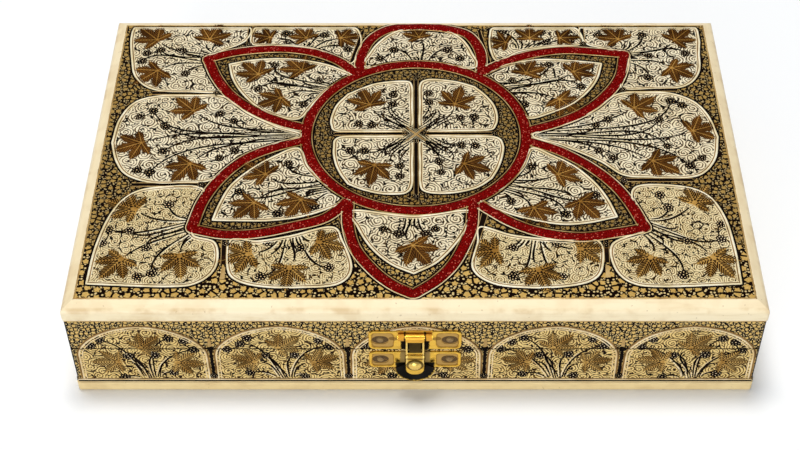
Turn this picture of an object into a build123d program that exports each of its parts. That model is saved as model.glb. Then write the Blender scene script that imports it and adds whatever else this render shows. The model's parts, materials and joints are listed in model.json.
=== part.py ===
"""Kashmiri papier mache box: a lined trinket box with a hinged lid and a brass hasp.

The carcase is ten papier mache boards. A bottom board and a bevelled top board carry the four
mitred walls of the base and the four mitred walls of the lid. The lid turns on two rolled butt
hinges nailed to the back, and a strap hasp on the front drops over a catch on the base plate.

Millimetres. Origin at the middle of the underside, +X along the front, +Y to the back, +Z up.
"""
import os

from build123d import *

# Carcase
BOX_LENGTH = 300.0
BOX_DEPTH = 192.0
BOARD_CORNER_RADIUS = 1.6  # plan radius of the boards' corners
BASE_BOARD_THICKNESS = 6.0
BASE_WALL_HEIGHT = 22.8
LID_WALL_HEIGHT = 19.2
WALL_THICKNESS = 6.0
WALL_SETBACK = 0.5  # the boards stand this far proud of the painted walls
WALL_CORNER_RADIUS = 1.2
RIM_CHAMFER = 0.5  # outer edge of both rims, where the lid meets the base
BAND_HEIGHT = 5.6  # upright part of the top board's edge
BEVEL_RUN = 5.0
BEVEL_RISE = 2.4
NOSE_RADIUS = 3.5  # between the upright band and the bevel
BOARD_EASE = 0.7  # rounding of the boards' other edges

# Lining: velvet over card
FLOOR_LINING_THICKNESS = 2.0
TOP_LINING_THICKNESS = 1.6
WALL_LINING_THICKNESS = 1.2
LINING_GAP = 0.2
LINING_BELOW_RIM = 0.8

# Dome-headed square nails of the hinges and the latch
NAIL_SHANK_WIDTH = 1.1
NAIL_TIP_WIDTH = 0.3
NAIL_GRIP = 4.4  # into the wall
NAIL_POINT = 1.2
NAIL_FIT = 0.04  # clearance on each side of the shank
NAIL_HEAD_DIAMETER = 3.2
NAIL_SHOULDER_DIAMETER = 2.5  # where the head's steep edge turns into its shallow crown
NAIL_SHOULDER_HEIGHT = 0.5
NAIL_HEAD_HEIGHT = 0.8

# Hinges
HINGE_SPACING = 180.0
HINGE_LENGTH = 22.0
HINGE_LEAF_REACH = 11.0  # from the pin's axis to a leaf's far edge
HINGE_SHEET = 0.9
HINGE_BARREL_DIAMETER = 3.0
HINGE_STANDOFF = 0.3  # from the wall to the barrel
HINGE_PIN_DIAMETER = 1.5
HINGE_PIN_OVERHANG = 0.4
PIN_FIT = 0.05  # radial clearance of a pin in its knuckles
KNUCKLE_COUNT = 3
KNUCKLE_GAP = 0.2
LEAF_GAP = 0.3  # from a leaf's edge to the other leaf's knuckles
HINGE_LEAF_CORNER = 1.2
HINGE_NAIL_SPACING = 12.4
HINGE_NAIL_REACH = 6.9  # from the pin's axis
HINGE_OPEN_DEGREES = 175

# Latch plates
LATCH_SHEET = 0.8
LATCH_WIDTH = 40.0
LATCH_CORNER = 2.6
LATCH_EDGE_CHAMFER = 0.2
LATCH_RIM_WIDTH = 1.1  # the plates are coined, so that a raised rim frames each wing's field
LATCH_FIELD_DEPTH = 0.2
LATCH_FIELD_INSIDE = 9.2  # from the middle to the near edge of each field
LATCH_FIELD_CORNER = 1.4
NOTCH_WIDTH = 11.6  # open middle of the lid plate, behind the hasp
NOTCH_HEIGHT = 8.0
LID_PLATE_HEIGHT = 11.9
LID_PLATE_ABOVE_RIM = 0.6
BASE_WING_HEIGHT = 10.6
BASE_PLATE_BELOW_RIM = 1.3
DIMPLE_LENGTH = 7.4  # the latch plates are pressed in round each nail, in an oval
DIMPLE_HEIGHT = 5.4
DIMPLE_DEPTH = 0.5
LATCH_NAIL_SPACING = 30.0
DISH_DIAMETER = 17.4
DISH_BELOW_RIM = 8.9  # middle of the dished lobe
DISH_FLOOR_DIAMETER = 5.8
DISH_STAND = 3.0  # from the wall to the back of the lip

# Hasp, as it hangs shut
HASP_AXIS_ABOVE_RIM = 10.8
HASP_AXIS_STANDOFF = 2.7  # from the wall
LUG_DIAMETER = 3.0
LUG_INSIDE = 4.3  # from the middle to each lug
LUG_LENGTH = 3.0
HASP_PIN_DIAMETER = 1.3
HASP_PIN_OVERHANG = 0.4
HASP_WIDTH = 8.0
HASP_SHEET = 0.9
HASP_BARREL_DIAMETER = 3.2
HASP_STRAP_OFFSET = 0.3  # from the pin's axis to the back of the strap
HASP_LENGTH = 24.0  # from the pin's axis to the rounded end
WINDOW_WIDTH = 6.2
WINDOW_DROP = 2.3  # below the pin's axis
WINDOW_HEIGHT = 6.5
RIB_DROP = 11.5
RIB_RADIUS = 1.2
RIB_STAND = 0.8
DOME_DROP = 17.2
DOME_DIAMETER = 6.6
DOME_STAND = 1.9
HASP_END_FLAT = 0.8  # flat left at the tip of the rounded end
HASP_EDGE_CHAMFER = 0.2

# Catch on the base plate
CATCH_WIDTH = 5.0
CATCH_SHEET = 0.9
CATCH_CLEARANCE = 0.35  # from the lid plate to the catch
CATCH_TOP_DROP = 3.1  # below the pin's axis
CATCH_NOSE_HEIGHT = 5.0
CATCH_REACH = 3.3  # from the tongue's back to the tip of the nose
CATCH_NOSE_TIP = 1.0  # upright part of the nose, under its ramp
CATCH_NOSE_RADIUS = 0.35
CATCH_FOOT_BELOW_RIM = 5.0

# Heights and faces that follow
RIM = BASE_BOARD_THICKNESS + BASE_WALL_HEIGHT
LID_WALL_TOP = RIM + LID_WALL_HEIGHT
BAND_TOP = LID_WALL_TOP + BAND_HEIGHT
BOX_HEIGHT = BAND_TOP + BEVEL_RISE
FLOOR_TOP = BASE_BOARD_THICKNESS + FLOOR_LINING_THICKNESS
CEILING = LID_WALL_TOP - TOP_LINING_THICKNESS
INSIDE_LENGTH = BOX_LENGTH - 2 * (WALL_SETBACK + WALL_THICKNESS)
INSIDE_DEPTH = BOX_DEPTH - 2 * (WALL_SETBACK + WALL_THICKNESS)
FRONT_FACE = WALL_SETBACK - BOX_DEPTH / 2
BACK_FACE = -FRONT_FACE
HINGE_AXIS_Y = BACK_FACE + HINGE_STANDOFF + HINGE_BARREL_DIAMETER / 2
HINGE_MIDDLES = {"left": -HINGE_SPACING / 2, "right": HINGE_SPACING / 2}
KNUCKLE_PITCH = (HINGE_LENGTH + KNUCKLE_GAP) / KNUCKLE_COUNT
HASP_AXIS_Y = FRONT_FACE - HASP_AXIS_STANDOFF
HASP_AXIS_Z = RIM + HASP_AXIS_ABOVE_RIM
STRAP_BACK = HASP_AXIS_Y - HASP_STRAP_OFFSET
STRAP_FRONT = STRAP_BACK - HASP_SHEET
LID_PLATE_BOTTOM = RIM + LID_PLATE_ABOVE_RIM
LID_NAIL_Z = LID_PLATE_BOTTOM + LID_PLATE_HEIGHT / 2
BASE_PLATE_TOP = RIM - BASE_PLATE_BELOW_RIM
BASE_NAIL_Z = BASE_PLATE_TOP - BASE_WING_HEIGHT / 2
DISH_Z = RIM - DISH_BELOW_RIM


# ---- Helpers ----


def block(x_range, y_range, z_range):
    """A plain block given by its range on each axis."""
    size = [high - low for low, high in (x_range, y_range, z_range)]
    corner = Pos(x_range[0], y_range[0], z_range[0])
    return corner * Box(*size, align=(Align.MIN, Align.MIN, Align.MIN))


def bar_along_x(diameter, x_range, y, z):
    """A round bar along X."""
    bar = Cylinder(diameter / 2, x_range[1] - x_range[0], align=(Align.CENTER, Align.CENTER, Align.MIN))
    return Pos(x_range[0], y, z) * Rot(0, 90, 0) * bar


def section_face(*points):
    """A flat face at X = 0 from (y, z) points."""
    return make_face(Polyline(*[(0, y, z) for y, z in points], close=True))


def save(node, *solids):
    """Write one node, a single solid or a group of separate ones."""
    shape = solids[0] if len(solids) == 1 else Compound(children=list(solids))
    export_step(shape, f"parts/{node}.step")


# ---- Carcase ----


def edged_board(low, high):
    """A board of the full plan size with rounded corners."""
    plan = RectangleRounded(BOX_LENGTH, BOX_DEPTH, BOARD_CORNER_RADIUS)
    return Pos(0, 0, low) * extrude(plan, amount=high - low)


def base_board():
    """Bottom board, whose eased edge shows as the plinth."""
    board = edged_board(0, BASE_BOARD_THICKNESS)
    faces = board.faces().sort_by(Axis.Z)
    return chamfer(faces[0].edges() + faces[-1].edges(), BOARD_EASE)


def top_board_section(width, length):
    """The top board's cross-section across one width, run straight for a length along X."""
    half = width / 2
    outline = section_face(
        (-half, LID_WALL_TOP),
        (-half, BAND_TOP),
        (BEVEL_RUN - half, BOX_HEIGHT),
        (half - BEVEL_RUN, BOX_HEIGHT),
        (half, BAND_TOP),
        (half, LID_WALL_TOP),
    )
    noses = outline.vertices().group_by(Axis.Z)[1]
    outline = fillet(noses, NOSE_RADIUS)
    feet = outline.vertices().group_by(Axis.Z)[0]
    outline = fillet(feet, BOARD_EASE)
    return Pos(-length / 2, 0, 0) * extrude(outline, amount=length, dir=(1, 0, 0))


def lid_top_board():
    """Top board: an upright band, a rounded nose, then a mitred bevel up to the flat top."""
    along = top_board_section(BOX_DEPTH, BOX_LENGTH)
    across = Rot(0, 0, 90) * top_board_section(BOX_LENGTH, BOX_DEPTH)
    return along & across & edged_board(LID_WALL_TOP, BOX_HEIGHT)


def wall_ring(low, high, rim):
    """All four walls of the base or the lid, with the rim's outer edge chamfered."""
    outline = RectangleRounded(
        BOX_LENGTH - 2 * WALL_SETBACK, BOX_DEPTH - 2 * WALL_SETBACK, WALL_CORNER_RADIUS
    )
    solid = Pos(0, 0, low) * extrude(outline, amount=high - low)
    rim_face = solid.faces().sort_by(Axis.Z)[-1 if rim == high else 0]
    solid = chamfer(rim_face.edges(), RIM_CHAMFER)
    half_x, half_y = INSIDE_LENGTH / 2, INSIDE_DEPTH / 2
    return solid - block((-half_x, half_x), (-half_y, half_y), (low, high))


def lining_ring(low, high):
    """The four velvet-covered cards that line the walls."""
    half_x, half_y = INSIDE_LENGTH / 2, INSIDE_DEPTH / 2
    outer = block((-half_x, half_x), (-half_y, half_y), (low, high))
    half_x, half_y = half_x - WALL_LINING_THICKNESS, half_y - WALL_LINING_THICKNESS
    return outer - block((-half_x, half_x), (-half_y, half_y), (low, high))


def mitred(ring):
    """A ring cut at its corners into its four sides, by name."""
    corner_x, corner_y = BOX_LENGTH / 2, BOX_DEPTH / 2
    reach = corner_y / 2
    inner_x, inner_y = corner_x - reach, corner_y - reach
    front = Polyline(
        (-corner_x, -corner_y), (corner_x, -corner_y), (inner_x, -inner_y), (-inner_x, -inner_y),
        close=True,
    )
    left = Polyline(
        (-corner_x, corner_y), (-corner_x, -corner_y), (-inner_x, -inner_y), (-inner_x, inner_y),
        close=True,
    )
    sides = {}
    for names, outline in ((("front", "back"), front), (("left", "right"), left)):
        wedge = extrude(make_face(outline), amount=BOX_HEIGHT, dir=(0, 0, 1))
        sides[names[0]] = ring & wedge
        sides[names[1]] = ring & (Rot(0, 0, 180) * wedge)
    return sides


# ---- Nails ----


def nail_shank(grip):
    """A square shank along -Z, filed to a blunt point from its four sides."""
    half, tip = NAIL_SHANK_WIDTH / 2, NAIL_TIP_WIDTH / 2
    side = section_face(
        (-half, 0),
        (half, 0),
        (half, NAIL_POINT - grip),
        (tip, -grip),
        (-tip, -grip),
        (-half, NAIL_POINT - grip),
    )
    blade = extrude(side, amount=half, both=True)
    return blade & (Rot(0, 0, 90) * blade)


def nail(sheet):
    """A nail along -Z through a sheet, with the seat of its head at the origin."""
    low = (Align.CENTER, Align.CENTER, Align.MIN)
    shoulder = NAIL_SHOULDER_DIAMETER / 2
    head = Cone(NAIL_HEAD_DIAMETER / 2, shoulder, NAIL_SHOULDER_HEIGHT, align=low)
    crown = NAIL_HEAD_HEIGHT - NAIL_SHOULDER_HEIGHT
    head += Pos(0, 0, NAIL_SHOULDER_HEIGHT) * Cone(shoulder, 0, crown, align=low)
    return head + nail_shank(NAIL_GRIP + sheet)


def driven(x, y, z, back):
    """Placement of a nail driven into the front wall, or the back one, from a seat at y."""
    return Pos(x, y, z) * Rot(-90 if back else 90, 0, 0)


def nail_hole(sheet):
    """The square hole that a nail needs in a plate and in the wall. Plate's face at Z = 0."""
    width = NAIL_SHANK_WIDTH + 2 * NAIL_FIT
    return Box(
        width, width, sheet + NAIL_GRIP + NAIL_FIT, align=(Align.CENTER, Align.CENTER, Align.MAX)
    )


def dimple():
    """The oval pressed into a latch plate round a nail. Plate's face at Z = 0."""
    return extrude(SlotOverall(DIMPLE_LENGTH, DIMPLE_HEIGHT), amount=DIMPLE_DEPTH, dir=(0, 0, -1))


def hinge_nails(middle_x, lid):
    """Positions of one leaf's two nails."""
    z = RIM + HINGE_NAIL_REACH if lid else RIM - HINGE_NAIL_REACH
    return [(middle_x + side * HINGE_NAIL_SPACING / 2, z) for side in (-1, 1)]


def latch_nails(lid):
    """Positions of one latch plate's two nails."""
    z = LID_NAIL_Z if lid else BASE_NAIL_Z
    return [(side * LATCH_NAIL_SPACING / 2, z) for side in (-1, 1)]


def drill_back(solid, middle_x, lid):
    """Nail holes of one hinge leaf, in the leaf or in the wall behind it."""
    for x, z in hinge_nails(middle_x, lid):
        solid -= driven(x, BACK_FACE + HINGE_SHEET, z, True) * nail_hole(HINGE_SHEET)
    return solid


def drill_front(solid, lid):
    """Nail holes of a latch plate, in the plate or in the wall behind it."""
    for x, z in latch_nails(lid):
        seat = driven(x, FRONT_FACE - LATCH_SHEET, z, False)
        solid -= seat * nail_hole(LATCH_SHEET)
        solid -= seat * dimple()
    return solid


# ---- Hinges ----


def hinge_leaf(middle_x, lid):
    """A leaf: flat plate, and every second knuckle rolled round the pin."""
    up = 1 if lid else -1
    edge = RIM + up * (HINGE_BARREL_DIAMETER / 2 + LEAF_GAP)
    far = RIM + up * HINGE_LEAF_REACH
    left, right = middle_x - HINGE_LENGTH / 2, middle_x + HINGE_LENGTH / 2
    leaf = block((left, right), (BACK_FACE, BACK_FACE + HINGE_SHEET), sorted((edge, far)))
    corners = leaf.edges().filter_by(Axis.Y).group_by(Axis.Z)[-1 if lid else 0]
    leaf = fillet(corners, HINGE_LEAF_CORNER)
    for place in range(1 if lid else 0, KNUCKLE_COUNT, 2):
        span = (left + place * KNUCKLE_PITCH, left + (place + 1) * KNUCKLE_PITCH - KNUCKLE_GAP)
        leaf += bar_along_x(HINGE_BARREL_DIAMETER, span, HINGE_AXIS_Y, RIM)
        wrap = (BACK_FACE + HINGE_STANDOFF, BACK_FACE + HINGE_SHEET)
        leaf += block(span, wrap, sorted((RIM, edge)))
    leaf -= bar_along_x(HINGE_PIN_DIAMETER + 2 * PIN_FIT, (left, right), HINGE_AXIS_Y, RIM)
    return drill_back(leaf, middle_x, lid)


def hinge_pin(middle_x):
    """The pin, a little longer than the barrel."""
    half = HINGE_LENGTH / 2 + HINGE_PIN_OVERHANG
    return bar_along_x(HINGE_PIN_DIAMETER, (middle_x - half, middle_x + half), HINGE_AXIS_Y, RIM)


# ---- Latch ----


def front_chamfer(plate, size):
    """A plate with the edges of its foremost face chamfered."""
    return chamfer(plate.faces().sort_by(Axis.Y)[0].edges(), size)


def coined(plate, low, high):
    """A latch plate with the fields of its two wings pressed in, which leaves a raised rim."""
    face = FRONT_FACE - LATCH_SHEET
    outside = LATCH_WIDTH / 2 - LATCH_RIM_WIDTH
    for side in (-1, 1):
        field = block(
            sorted((side * LATCH_FIELD_INSIDE, side * outside)),
            (face, face + LATCH_FIELD_DEPTH),
            (low + LATCH_RIM_WIDTH, high - LATCH_RIM_WIDTH),
        )
        plate -= fillet(field.edges().filter_by(Axis.Y), LATCH_FIELD_CORNER)
    return plate


def latch_lid_plate():
    """Plate on the lid: two nailed wings, open behind the hasp, and the lugs of the hasp's pin."""
    half = LATCH_WIDTH / 2
    face = (FRONT_FACE - LATCH_SHEET, FRONT_FACE)
    top = LID_PLATE_BOTTOM + LID_PLATE_HEIGHT
    plate = block((-half, half), face, (LID_PLATE_BOTTOM, top))
    plate = fillet(plate.edges().filter_by(Axis.Y), LATCH_CORNER)
    notch = (LID_PLATE_BOTTOM, LID_PLATE_BOTTOM + NOTCH_HEIGHT)
    plate -= block((-NOTCH_WIDTH / 2, NOTCH_WIDTH / 2), face, notch)
    plate = coined(front_chamfer(plate, LATCH_EDGE_CHAMFER), LID_PLATE_BOTTOM, top)
    for side in (-1, 1):
        span = sorted((side * LUG_INSIDE, side * (LUG_INSIDE + LUG_LENGTH)))
        plate += bar_along_x(LUG_DIAMETER, span, HASP_AXIS_Y, HASP_AXIS_Z)
        neck = (HASP_AXIS_Z - LUG_DIAMETER / 2, HASP_AXIS_Z)
        plate += block(span, (HASP_AXIS_Y, face[0]), neck)
    reach = LUG_INSIDE + LUG_LENGTH
    bore = HASP_PIN_DIAMETER + 2 * PIN_FIT
    plate -= bar_along_x(bore, (-reach, reach), HASP_AXIS_Y, HASP_AXIS_Z)
    return drill_front(plate, lid=True)


def latch_base_plate():
    """Plate on the base: two nailed wings and a round lobe dished out at the bottom."""
    half = LATCH_WIDTH / 2
    back, front = FRONT_FACE, FRONT_FACE - LATCH_SHEET
    bottom = BASE_PLATE_TOP - BASE_WING_HEIGHT
    wings = block((-half, half), (front, back), (bottom, BASE_PLATE_TOP))
    wings = fillet(wings.edges().filter_by(Axis.Y), LATCH_CORNER)
    wings = coined(front_chamfer(wings, LATCH_EDGE_CHAMFER), bottom, BASE_PLATE_TOP)
    facing = Pos(0, back, DISH_Z) * Rot(90, 0, 0)
    low = (Align.CENTER, Align.CENTER, Align.MIN)
    radius, floor = DISH_DIAMETER / 2, DISH_FLOOR_DIAMETER / 2
    reach = DISH_STAND + LATCH_SHEET
    mouth = floor + (radius - floor) * reach / DISH_STAND
    cone = Cone(floor, mouth, reach, align=low)
    bowl = cone - Pos(0, 0, LATCH_SHEET) * cone
    lobe = facing * (bowl & Cylinder(radius, reach, align=low))
    lobe &= block((-radius, radius), (back - reach, back), (DISH_Z - radius, DISH_Z))
    return drill_front(wings + lobe, lid=False)


def latch_catch():
    """Catch brazed to the base plate: a tongue that stands up behind the hasp, with a ramped nose."""
    plate_face = FRONT_FACE - LATCH_SHEET
    back = plate_face - CATCH_CLEARANCE
    front = back - CATCH_SHEET
    top = HASP_AXIS_Z - CATCH_TOP_DROP
    foot = RIM - CATCH_FOOT_BELOW_RIM
    tip = back - CATCH_REACH
    profile = section_face(
        (plate_face, foot),
        (front, foot),
        (front, top - CATCH_NOSE_HEIGHT),
        (tip, top - CATCH_NOSE_HEIGHT),
        (tip, top - CATCH_NOSE_HEIGHT + CATCH_NOSE_TIP),
        (front, top),
        (back, top),
        (back, BASE_PLATE_TOP),
        (plate_face, BASE_PLATE_TOP),
    )
    nose = profile.vertices().group_by(Axis.Y)[0]
    profile = fillet(nose, CATCH_NOSE_RADIUS)
    solid = extrude(profile, amount=CATCH_WIDTH, dir=(1, 0, 0))
    return Pos(-CATCH_WIDTH / 2, 0, 0) * solid


def latch_hasp():
    """Strap hasp: rolled barrel, window for the catch, finger rib, dome and rounded end."""
    half = HASP_WIDTH / 2
    bottom = HASP_AXIS_Z - HASP_LENGTH
    outline = RectangleRounded(HASP_WIDTH, 2 * HASP_LENGTH, half - HASP_END_FLAT / 2)
    strap = Pos(0, STRAP_BACK, HASP_AXIS_Z) * Rot(90, 0, 0) * extrude(outline, amount=HASP_SHEET)
    strap &= block((-half, half), (STRAP_FRONT, STRAP_BACK), (bottom, HASP_AXIS_Z))
    window_top = HASP_AXIS_Z - WINDOW_DROP
    window = block(
        (-WINDOW_WIDTH / 2, WINDOW_WIDTH / 2),
        (STRAP_FRONT, STRAP_BACK),
        (window_top - WINDOW_HEIGHT, window_top),
    )
    strap -= window
    front_edges = strap.faces().sort_by(Axis.Y)[0].edges().sort_by(Axis.Z)[:-1]
    strap = chamfer(front_edges, HASP_EDGE_CHAMFER)
    strap += bar_along_x(HASP_BARREL_DIAMETER, (-half, half), HASP_AXIS_Y, HASP_AXIS_Z)
    strap += rib_across(half)
    radius = DOME_DIAMETER / 2
    sphere_radius = (radius**2 + DOME_STAND**2) / (2 * DOME_STAND)
    middle = (0, STRAP_FRONT - DOME_STAND + sphere_radius, HASP_AXIS_Z - DOME_DROP)
    dome = Pos(*middle) * Sphere(sphere_radius)
    behind = block((-half, half), (STRAP_FRONT, STRAP_FRONT + 2 * sphere_radius), (bottom, RIM))
    strap += dome - behind
    bore = HASP_PIN_DIAMETER + 2 * PIN_FIT
    return strap - bar_along_x(bore, (-half, half), HASP_AXIS_Y, HASP_AXIS_Z)


def rib_across(half):
    """The half-round rib that a fingertip lifts."""
    rib = bar_along_x(2 * RIB_RADIUS, (-half, half), STRAP_FRONT - RIB_STAND + RIB_RADIUS,
                      HASP_AXIS_Z - RIB_DROP)
    slab = (STRAP_FRONT - RIB_STAND, STRAP_BACK)
    height = (HASP_AXIS_Z - RIB_DROP - RIB_RADIUS, HASP_AXIS_Z - RIB_DROP + RIB_RADIUS)
    return rib & block((-half, half), slab, height)


def latch_pin():
    """The hasp's pin, riveted through both lugs."""
    half = LUG_INSIDE + LUG_LENGTH + HASP_PIN_OVERHANG
    pin = bar_along_x(HASP_PIN_DIAMETER, (-half, half), HASP_AXIS_Y, HASP_AXIS_Z)
    return chamfer(pin.edges().filter_by(GeomType.CIRCLE), HASP_PIN_OVERHANG / 2)


# ---- Lining ----


def padded_sheet(low, high):
    """A flat lining that fills the inside plan with a little room all round."""
    sheet = Pos(0, 0, low) * Box(
        INSIDE_LENGTH - 2 * LINING_GAP,
        INSIDE_DEPTH - 2 * LINING_GAP,
        high - low,
        align=(Align.CENTER, Align.CENTER, Align.MIN),
    )
    return sheet


# ---- Nodes ----


def save_carcase():
    """Boards and walls of the base and the lid."""
    save("base_board", base_board())
    save("lid_top_board", lid_top_board())
    base_walls = mitred(wall_ring(BASE_BOARD_THICKNESS, RIM, RIM))
    base_walls["front"] = drill_front(base_walls["front"], lid=False)
    lid_walls = mitred(wall_ring(RIM, LID_WALL_TOP, RIM))
    lid_walls["front"] = drill_front(lid_walls["front"], lid=True)
    for middle_x in HINGE_MIDDLES.values():
        base_walls["back"] = drill_back(base_walls["back"], middle_x, lid=False)
        lid_walls["back"] = drill_back(lid_walls["back"], middle_x, lid=True)
    for side, wall in base_walls.items():
        save(f"base_wall_{side}", wall)
    for side, wall in lid_walls.items():
        save(f"lid_wall_{side}", wall)


def save_linings():
    """Velvet-covered cards inside the base and the lid."""
    save("base_floor_lining", padded_sheet(BASE_BOARD_THICKNESS, FLOOR_TOP))
    save("lid_top_lining", padded_sheet(CEILING, LID_WALL_TOP))
    for side, card in mitred(lining_ring(FLOOR_TOP, RIM - LINING_BELOW_RIM)).items():
        save(f"base_lining_{side}", card)
    for side, card in mitred(lining_ring(RIM + LINING_BELOW_RIM, CEILING)).items():
        save(f"lid_lining_{side}", card)


def save_hinges():
    """Two butt hinges: a base leaf, a lid leaf, a pin and each leaf's nails."""
    seat = BACK_FACE + HINGE_SHEET
    for side, middle_x in HINGE_MIDDLES.items():
        save(f"hinge_{side}_base_leaf", hinge_leaf(middle_x, lid=False))
        save(f"hinge_{side}_lid_leaf", hinge_leaf(middle_x, lid=True))
        save(f"hinge_{side}_pin", hinge_pin(middle_x))
        for leaf, lid in (("base", False), ("lid", True)):
            placed = [driven(x, seat, z, True) for x, z in hinge_nails(middle_x, lid)]
            nails = [place * nail(HINGE_SHEET) for place in placed]
            save(f"hinge_{side}_{leaf}_nails", *nails)


def save_latch():
    """The latch: two nailed plates, the hasp on its pin, and the catch."""
    save("latch_lid_plate", latch_lid_plate())
    save("latch_base_plate", latch_base_plate())
    save("latch_catch", latch_catch())
    save("latch_hasp", latch_hasp())
    save("latch_hasp_pin", latch_pin())
    seat = FRONT_FACE - LATCH_SHEET + DIMPLE_DEPTH
    for plate, lid in (("base", False), ("lid", True)):
        placed = [driven(x, seat, z, False) for x, z in latch_nails(lid)]
        nails = [place * nail(LATCH_SHEET - DIMPLE_DEPTH) for place in placed]
        save(f"latch_{plate}_plate_nails", *nails)


def main():
    os.makedirs("parts", exist_ok=True)
    save_carcase()
    save_linings()
    save_hinges()
    save_latch()


if __name__ == "__main__":
    main()
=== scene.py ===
import json
import math

import bmesh
import bpy
import numpy as np
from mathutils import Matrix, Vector
from mathutils.geometry import tessellate_polygon


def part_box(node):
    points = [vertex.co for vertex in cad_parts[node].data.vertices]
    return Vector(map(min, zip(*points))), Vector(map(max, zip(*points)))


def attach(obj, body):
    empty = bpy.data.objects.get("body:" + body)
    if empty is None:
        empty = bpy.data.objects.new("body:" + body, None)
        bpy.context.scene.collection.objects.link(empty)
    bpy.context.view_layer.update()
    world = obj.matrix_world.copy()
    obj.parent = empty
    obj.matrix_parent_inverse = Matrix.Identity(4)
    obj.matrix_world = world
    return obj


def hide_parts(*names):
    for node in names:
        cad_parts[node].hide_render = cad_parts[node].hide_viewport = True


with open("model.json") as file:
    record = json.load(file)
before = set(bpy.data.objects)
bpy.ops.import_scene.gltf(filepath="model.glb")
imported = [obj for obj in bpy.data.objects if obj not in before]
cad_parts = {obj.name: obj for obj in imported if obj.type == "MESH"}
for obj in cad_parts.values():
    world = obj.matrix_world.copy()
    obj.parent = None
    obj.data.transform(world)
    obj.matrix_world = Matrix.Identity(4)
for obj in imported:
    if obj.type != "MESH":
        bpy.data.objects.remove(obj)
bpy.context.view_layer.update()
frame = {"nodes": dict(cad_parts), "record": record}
nodes = frame["nodes"]


# ==== Papier mache boards ====
# The bottom board and the bevelled top board are pressed paper, sealed with chalk and painted
# cream, then lacquered. The lacquer has yellowed a little and the edges are rubbed browner.


def srgb(red, green, blue):
    """A display colour from 0 to 255 as the linear colour that a shader takes."""
    shares = [c / 255 for c in (red, green, blue)]
    return [c / 12.92 if c <= 0.04045 else ((c + 0.055) / 1.055) ** 2.4 for c in shares] + [1.0]


def add(tree, kind, *inputs, out=0, **settings):
    """One shader node. Inputs are sockets or plain values, in the node's own order."""
    made = tree.nodes.new("ShaderNode" + kind)
    for name, value in settings.items():
        setattr(made, name, value)
    for socket, value in zip(made.inputs, inputs):
        if isinstance(value, bpy.types.NodeSocket):
            tree.links.new(value, socket)
        elif value is not None:
            socket.default_value = value
    return made.outputs[out]


def calc(tree, operation, *values):
    return add(tree, "Math", *values, operation=operation)


def step(tree, value, low, high):
    """0 below low, 1 above high, smooth between."""
    return add(tree, "MapRange", value, low, high, 0.0, 1.0, interpolation_type="SMOOTHSTEP")


def mix(tree, factor, first, second):
    made = tree.nodes.new("ShaderNodeMix")
    made.data_type = "RGBA"
    for socket, value in zip((made.inputs[0], made.inputs[6], made.inputs[7]), (factor, first, second)):
        if isinstance(value, bpy.types.NodeSocket):
            tree.links.new(value, socket)
        else:
            socket.default_value = value
    return made.outputs[2]


def noise(tree, at, scale, detail=2.0):
    return add(tree, "TexNoise", at, None, scale, detail)


def parts(tree, value, kind="XYZ"):
    """The three parts of a place, or with the kind Color those of a colour."""
    split = tree.nodes.new("ShaderNodeSeparate" + kind)
    tree.links.new(value, split.inputs[0])
    return split.outputs


def stretched(tree, at, *factors):
    return add(tree, "VectorMath", at, factors, operation="MULTIPLY")


def place(tree, plane="XYZ", size=1000.0):
    """Where a point lies in the box's own frame, in millimetres. plane names the axes kept, and
    "walls" stands for the way along any upright wall and the height."""
    found = parts(tree, add(tree, "TexCoord", out=3))
    axes = [calc(tree, "MULTIPLY", found[axis], size) for axis in ("XYZ" if plane == "walls" else plane)]
    if plane == "walls":
        axes = [calc(tree, "ADD", axes[0], axes[1]), axes[2], 0.0]
    return add(tree, "CombineXYZ", *axes)


def material(name):
    """A new material with its tree, and its surface shader."""
    made = bpy.data.materials.new(name)
    made.use_nodes = True
    return made, made.node_tree, made.node_tree.nodes["Principled BSDF"]


def finish_with(tree, surface, **inputs):
    """Sets the surface's inputs by name, from sockets or plain values."""
    for name, value in inputs.items():
        socket = surface.inputs[name.replace("_", " ")]
        if isinstance(value, bpy.types.NodeSocket):
            tree.links.new(value, socket)
        else:
            socket.default_value = value


def bump(tree, height, distance, strength=1.0):
    return add(tree, "Bump", strength, distance, None, height)


def paint_node(name, made):
    """Gives a CAD node its finish."""
    mesh = nodes[name].data
    mesh.materials.clear()
    mesh.materials.append(made)


def new_group(name, *outputs):
    """A node group that takes a place in millimetres and gives the named values."""
    group = bpy.data.node_groups.new(name, "ShaderNodeTree")
    group.interface.new_socket("Place", in_out="INPUT", socket_type="NodeSocketVector")
    for output in outputs:
        group.interface.new_socket(output, in_out="OUTPUT", socket_type="NodeSocketFloat")
    return group, group.nodes.new("NodeGroupInput").outputs[0], group.nodes.new("NodeGroupOutput")


def voronoi(tree, at, randomness, **settings):
    made = tree.nodes.new("ShaderNodeTexVoronoi")
    made.voronoi_dimensions = "2D"
    for name, value in settings.items():
        setattr(made, name, value)
    made.inputs["Scale"].default_value = 1.0
    made.inputs["Randomness"].default_value = randomness
    tree.links.new(at, made.inputs["Vector"])
    return made


def around_cell(tree, at, cell, randomness):
    """From the middle of each Voronoi cell the distance in mm and the angle in turns, then the
    distance to the cell's edge in mm and three random values of the cell."""
    scaled = stretched(tree, at, 1 / cell, 1 / cell, 0.0)
    cells = voronoi(tree, scaled, randomness)
    edges = voronoi(tree, scaled, randomness, feature="DISTANCE_TO_EDGE")
    offset = parts(tree, add(tree, "VectorMath", scaled, cells.outputs["Position"], operation="SUBTRACT"))
    turns = calc(tree, "DIVIDE", calc(tree, "ARCTAN2", offset[1], offset[0]), 2 * math.pi)
    reach = calc(tree, "MULTIPLY", cells.outputs["Distance"], cell)
    edge = calc(tree, "MULTIPLY", edges.outputs["Distance"], cell)
    return reach, turns, edge, parts(tree, cells.outputs["Color"], "Color")


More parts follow.
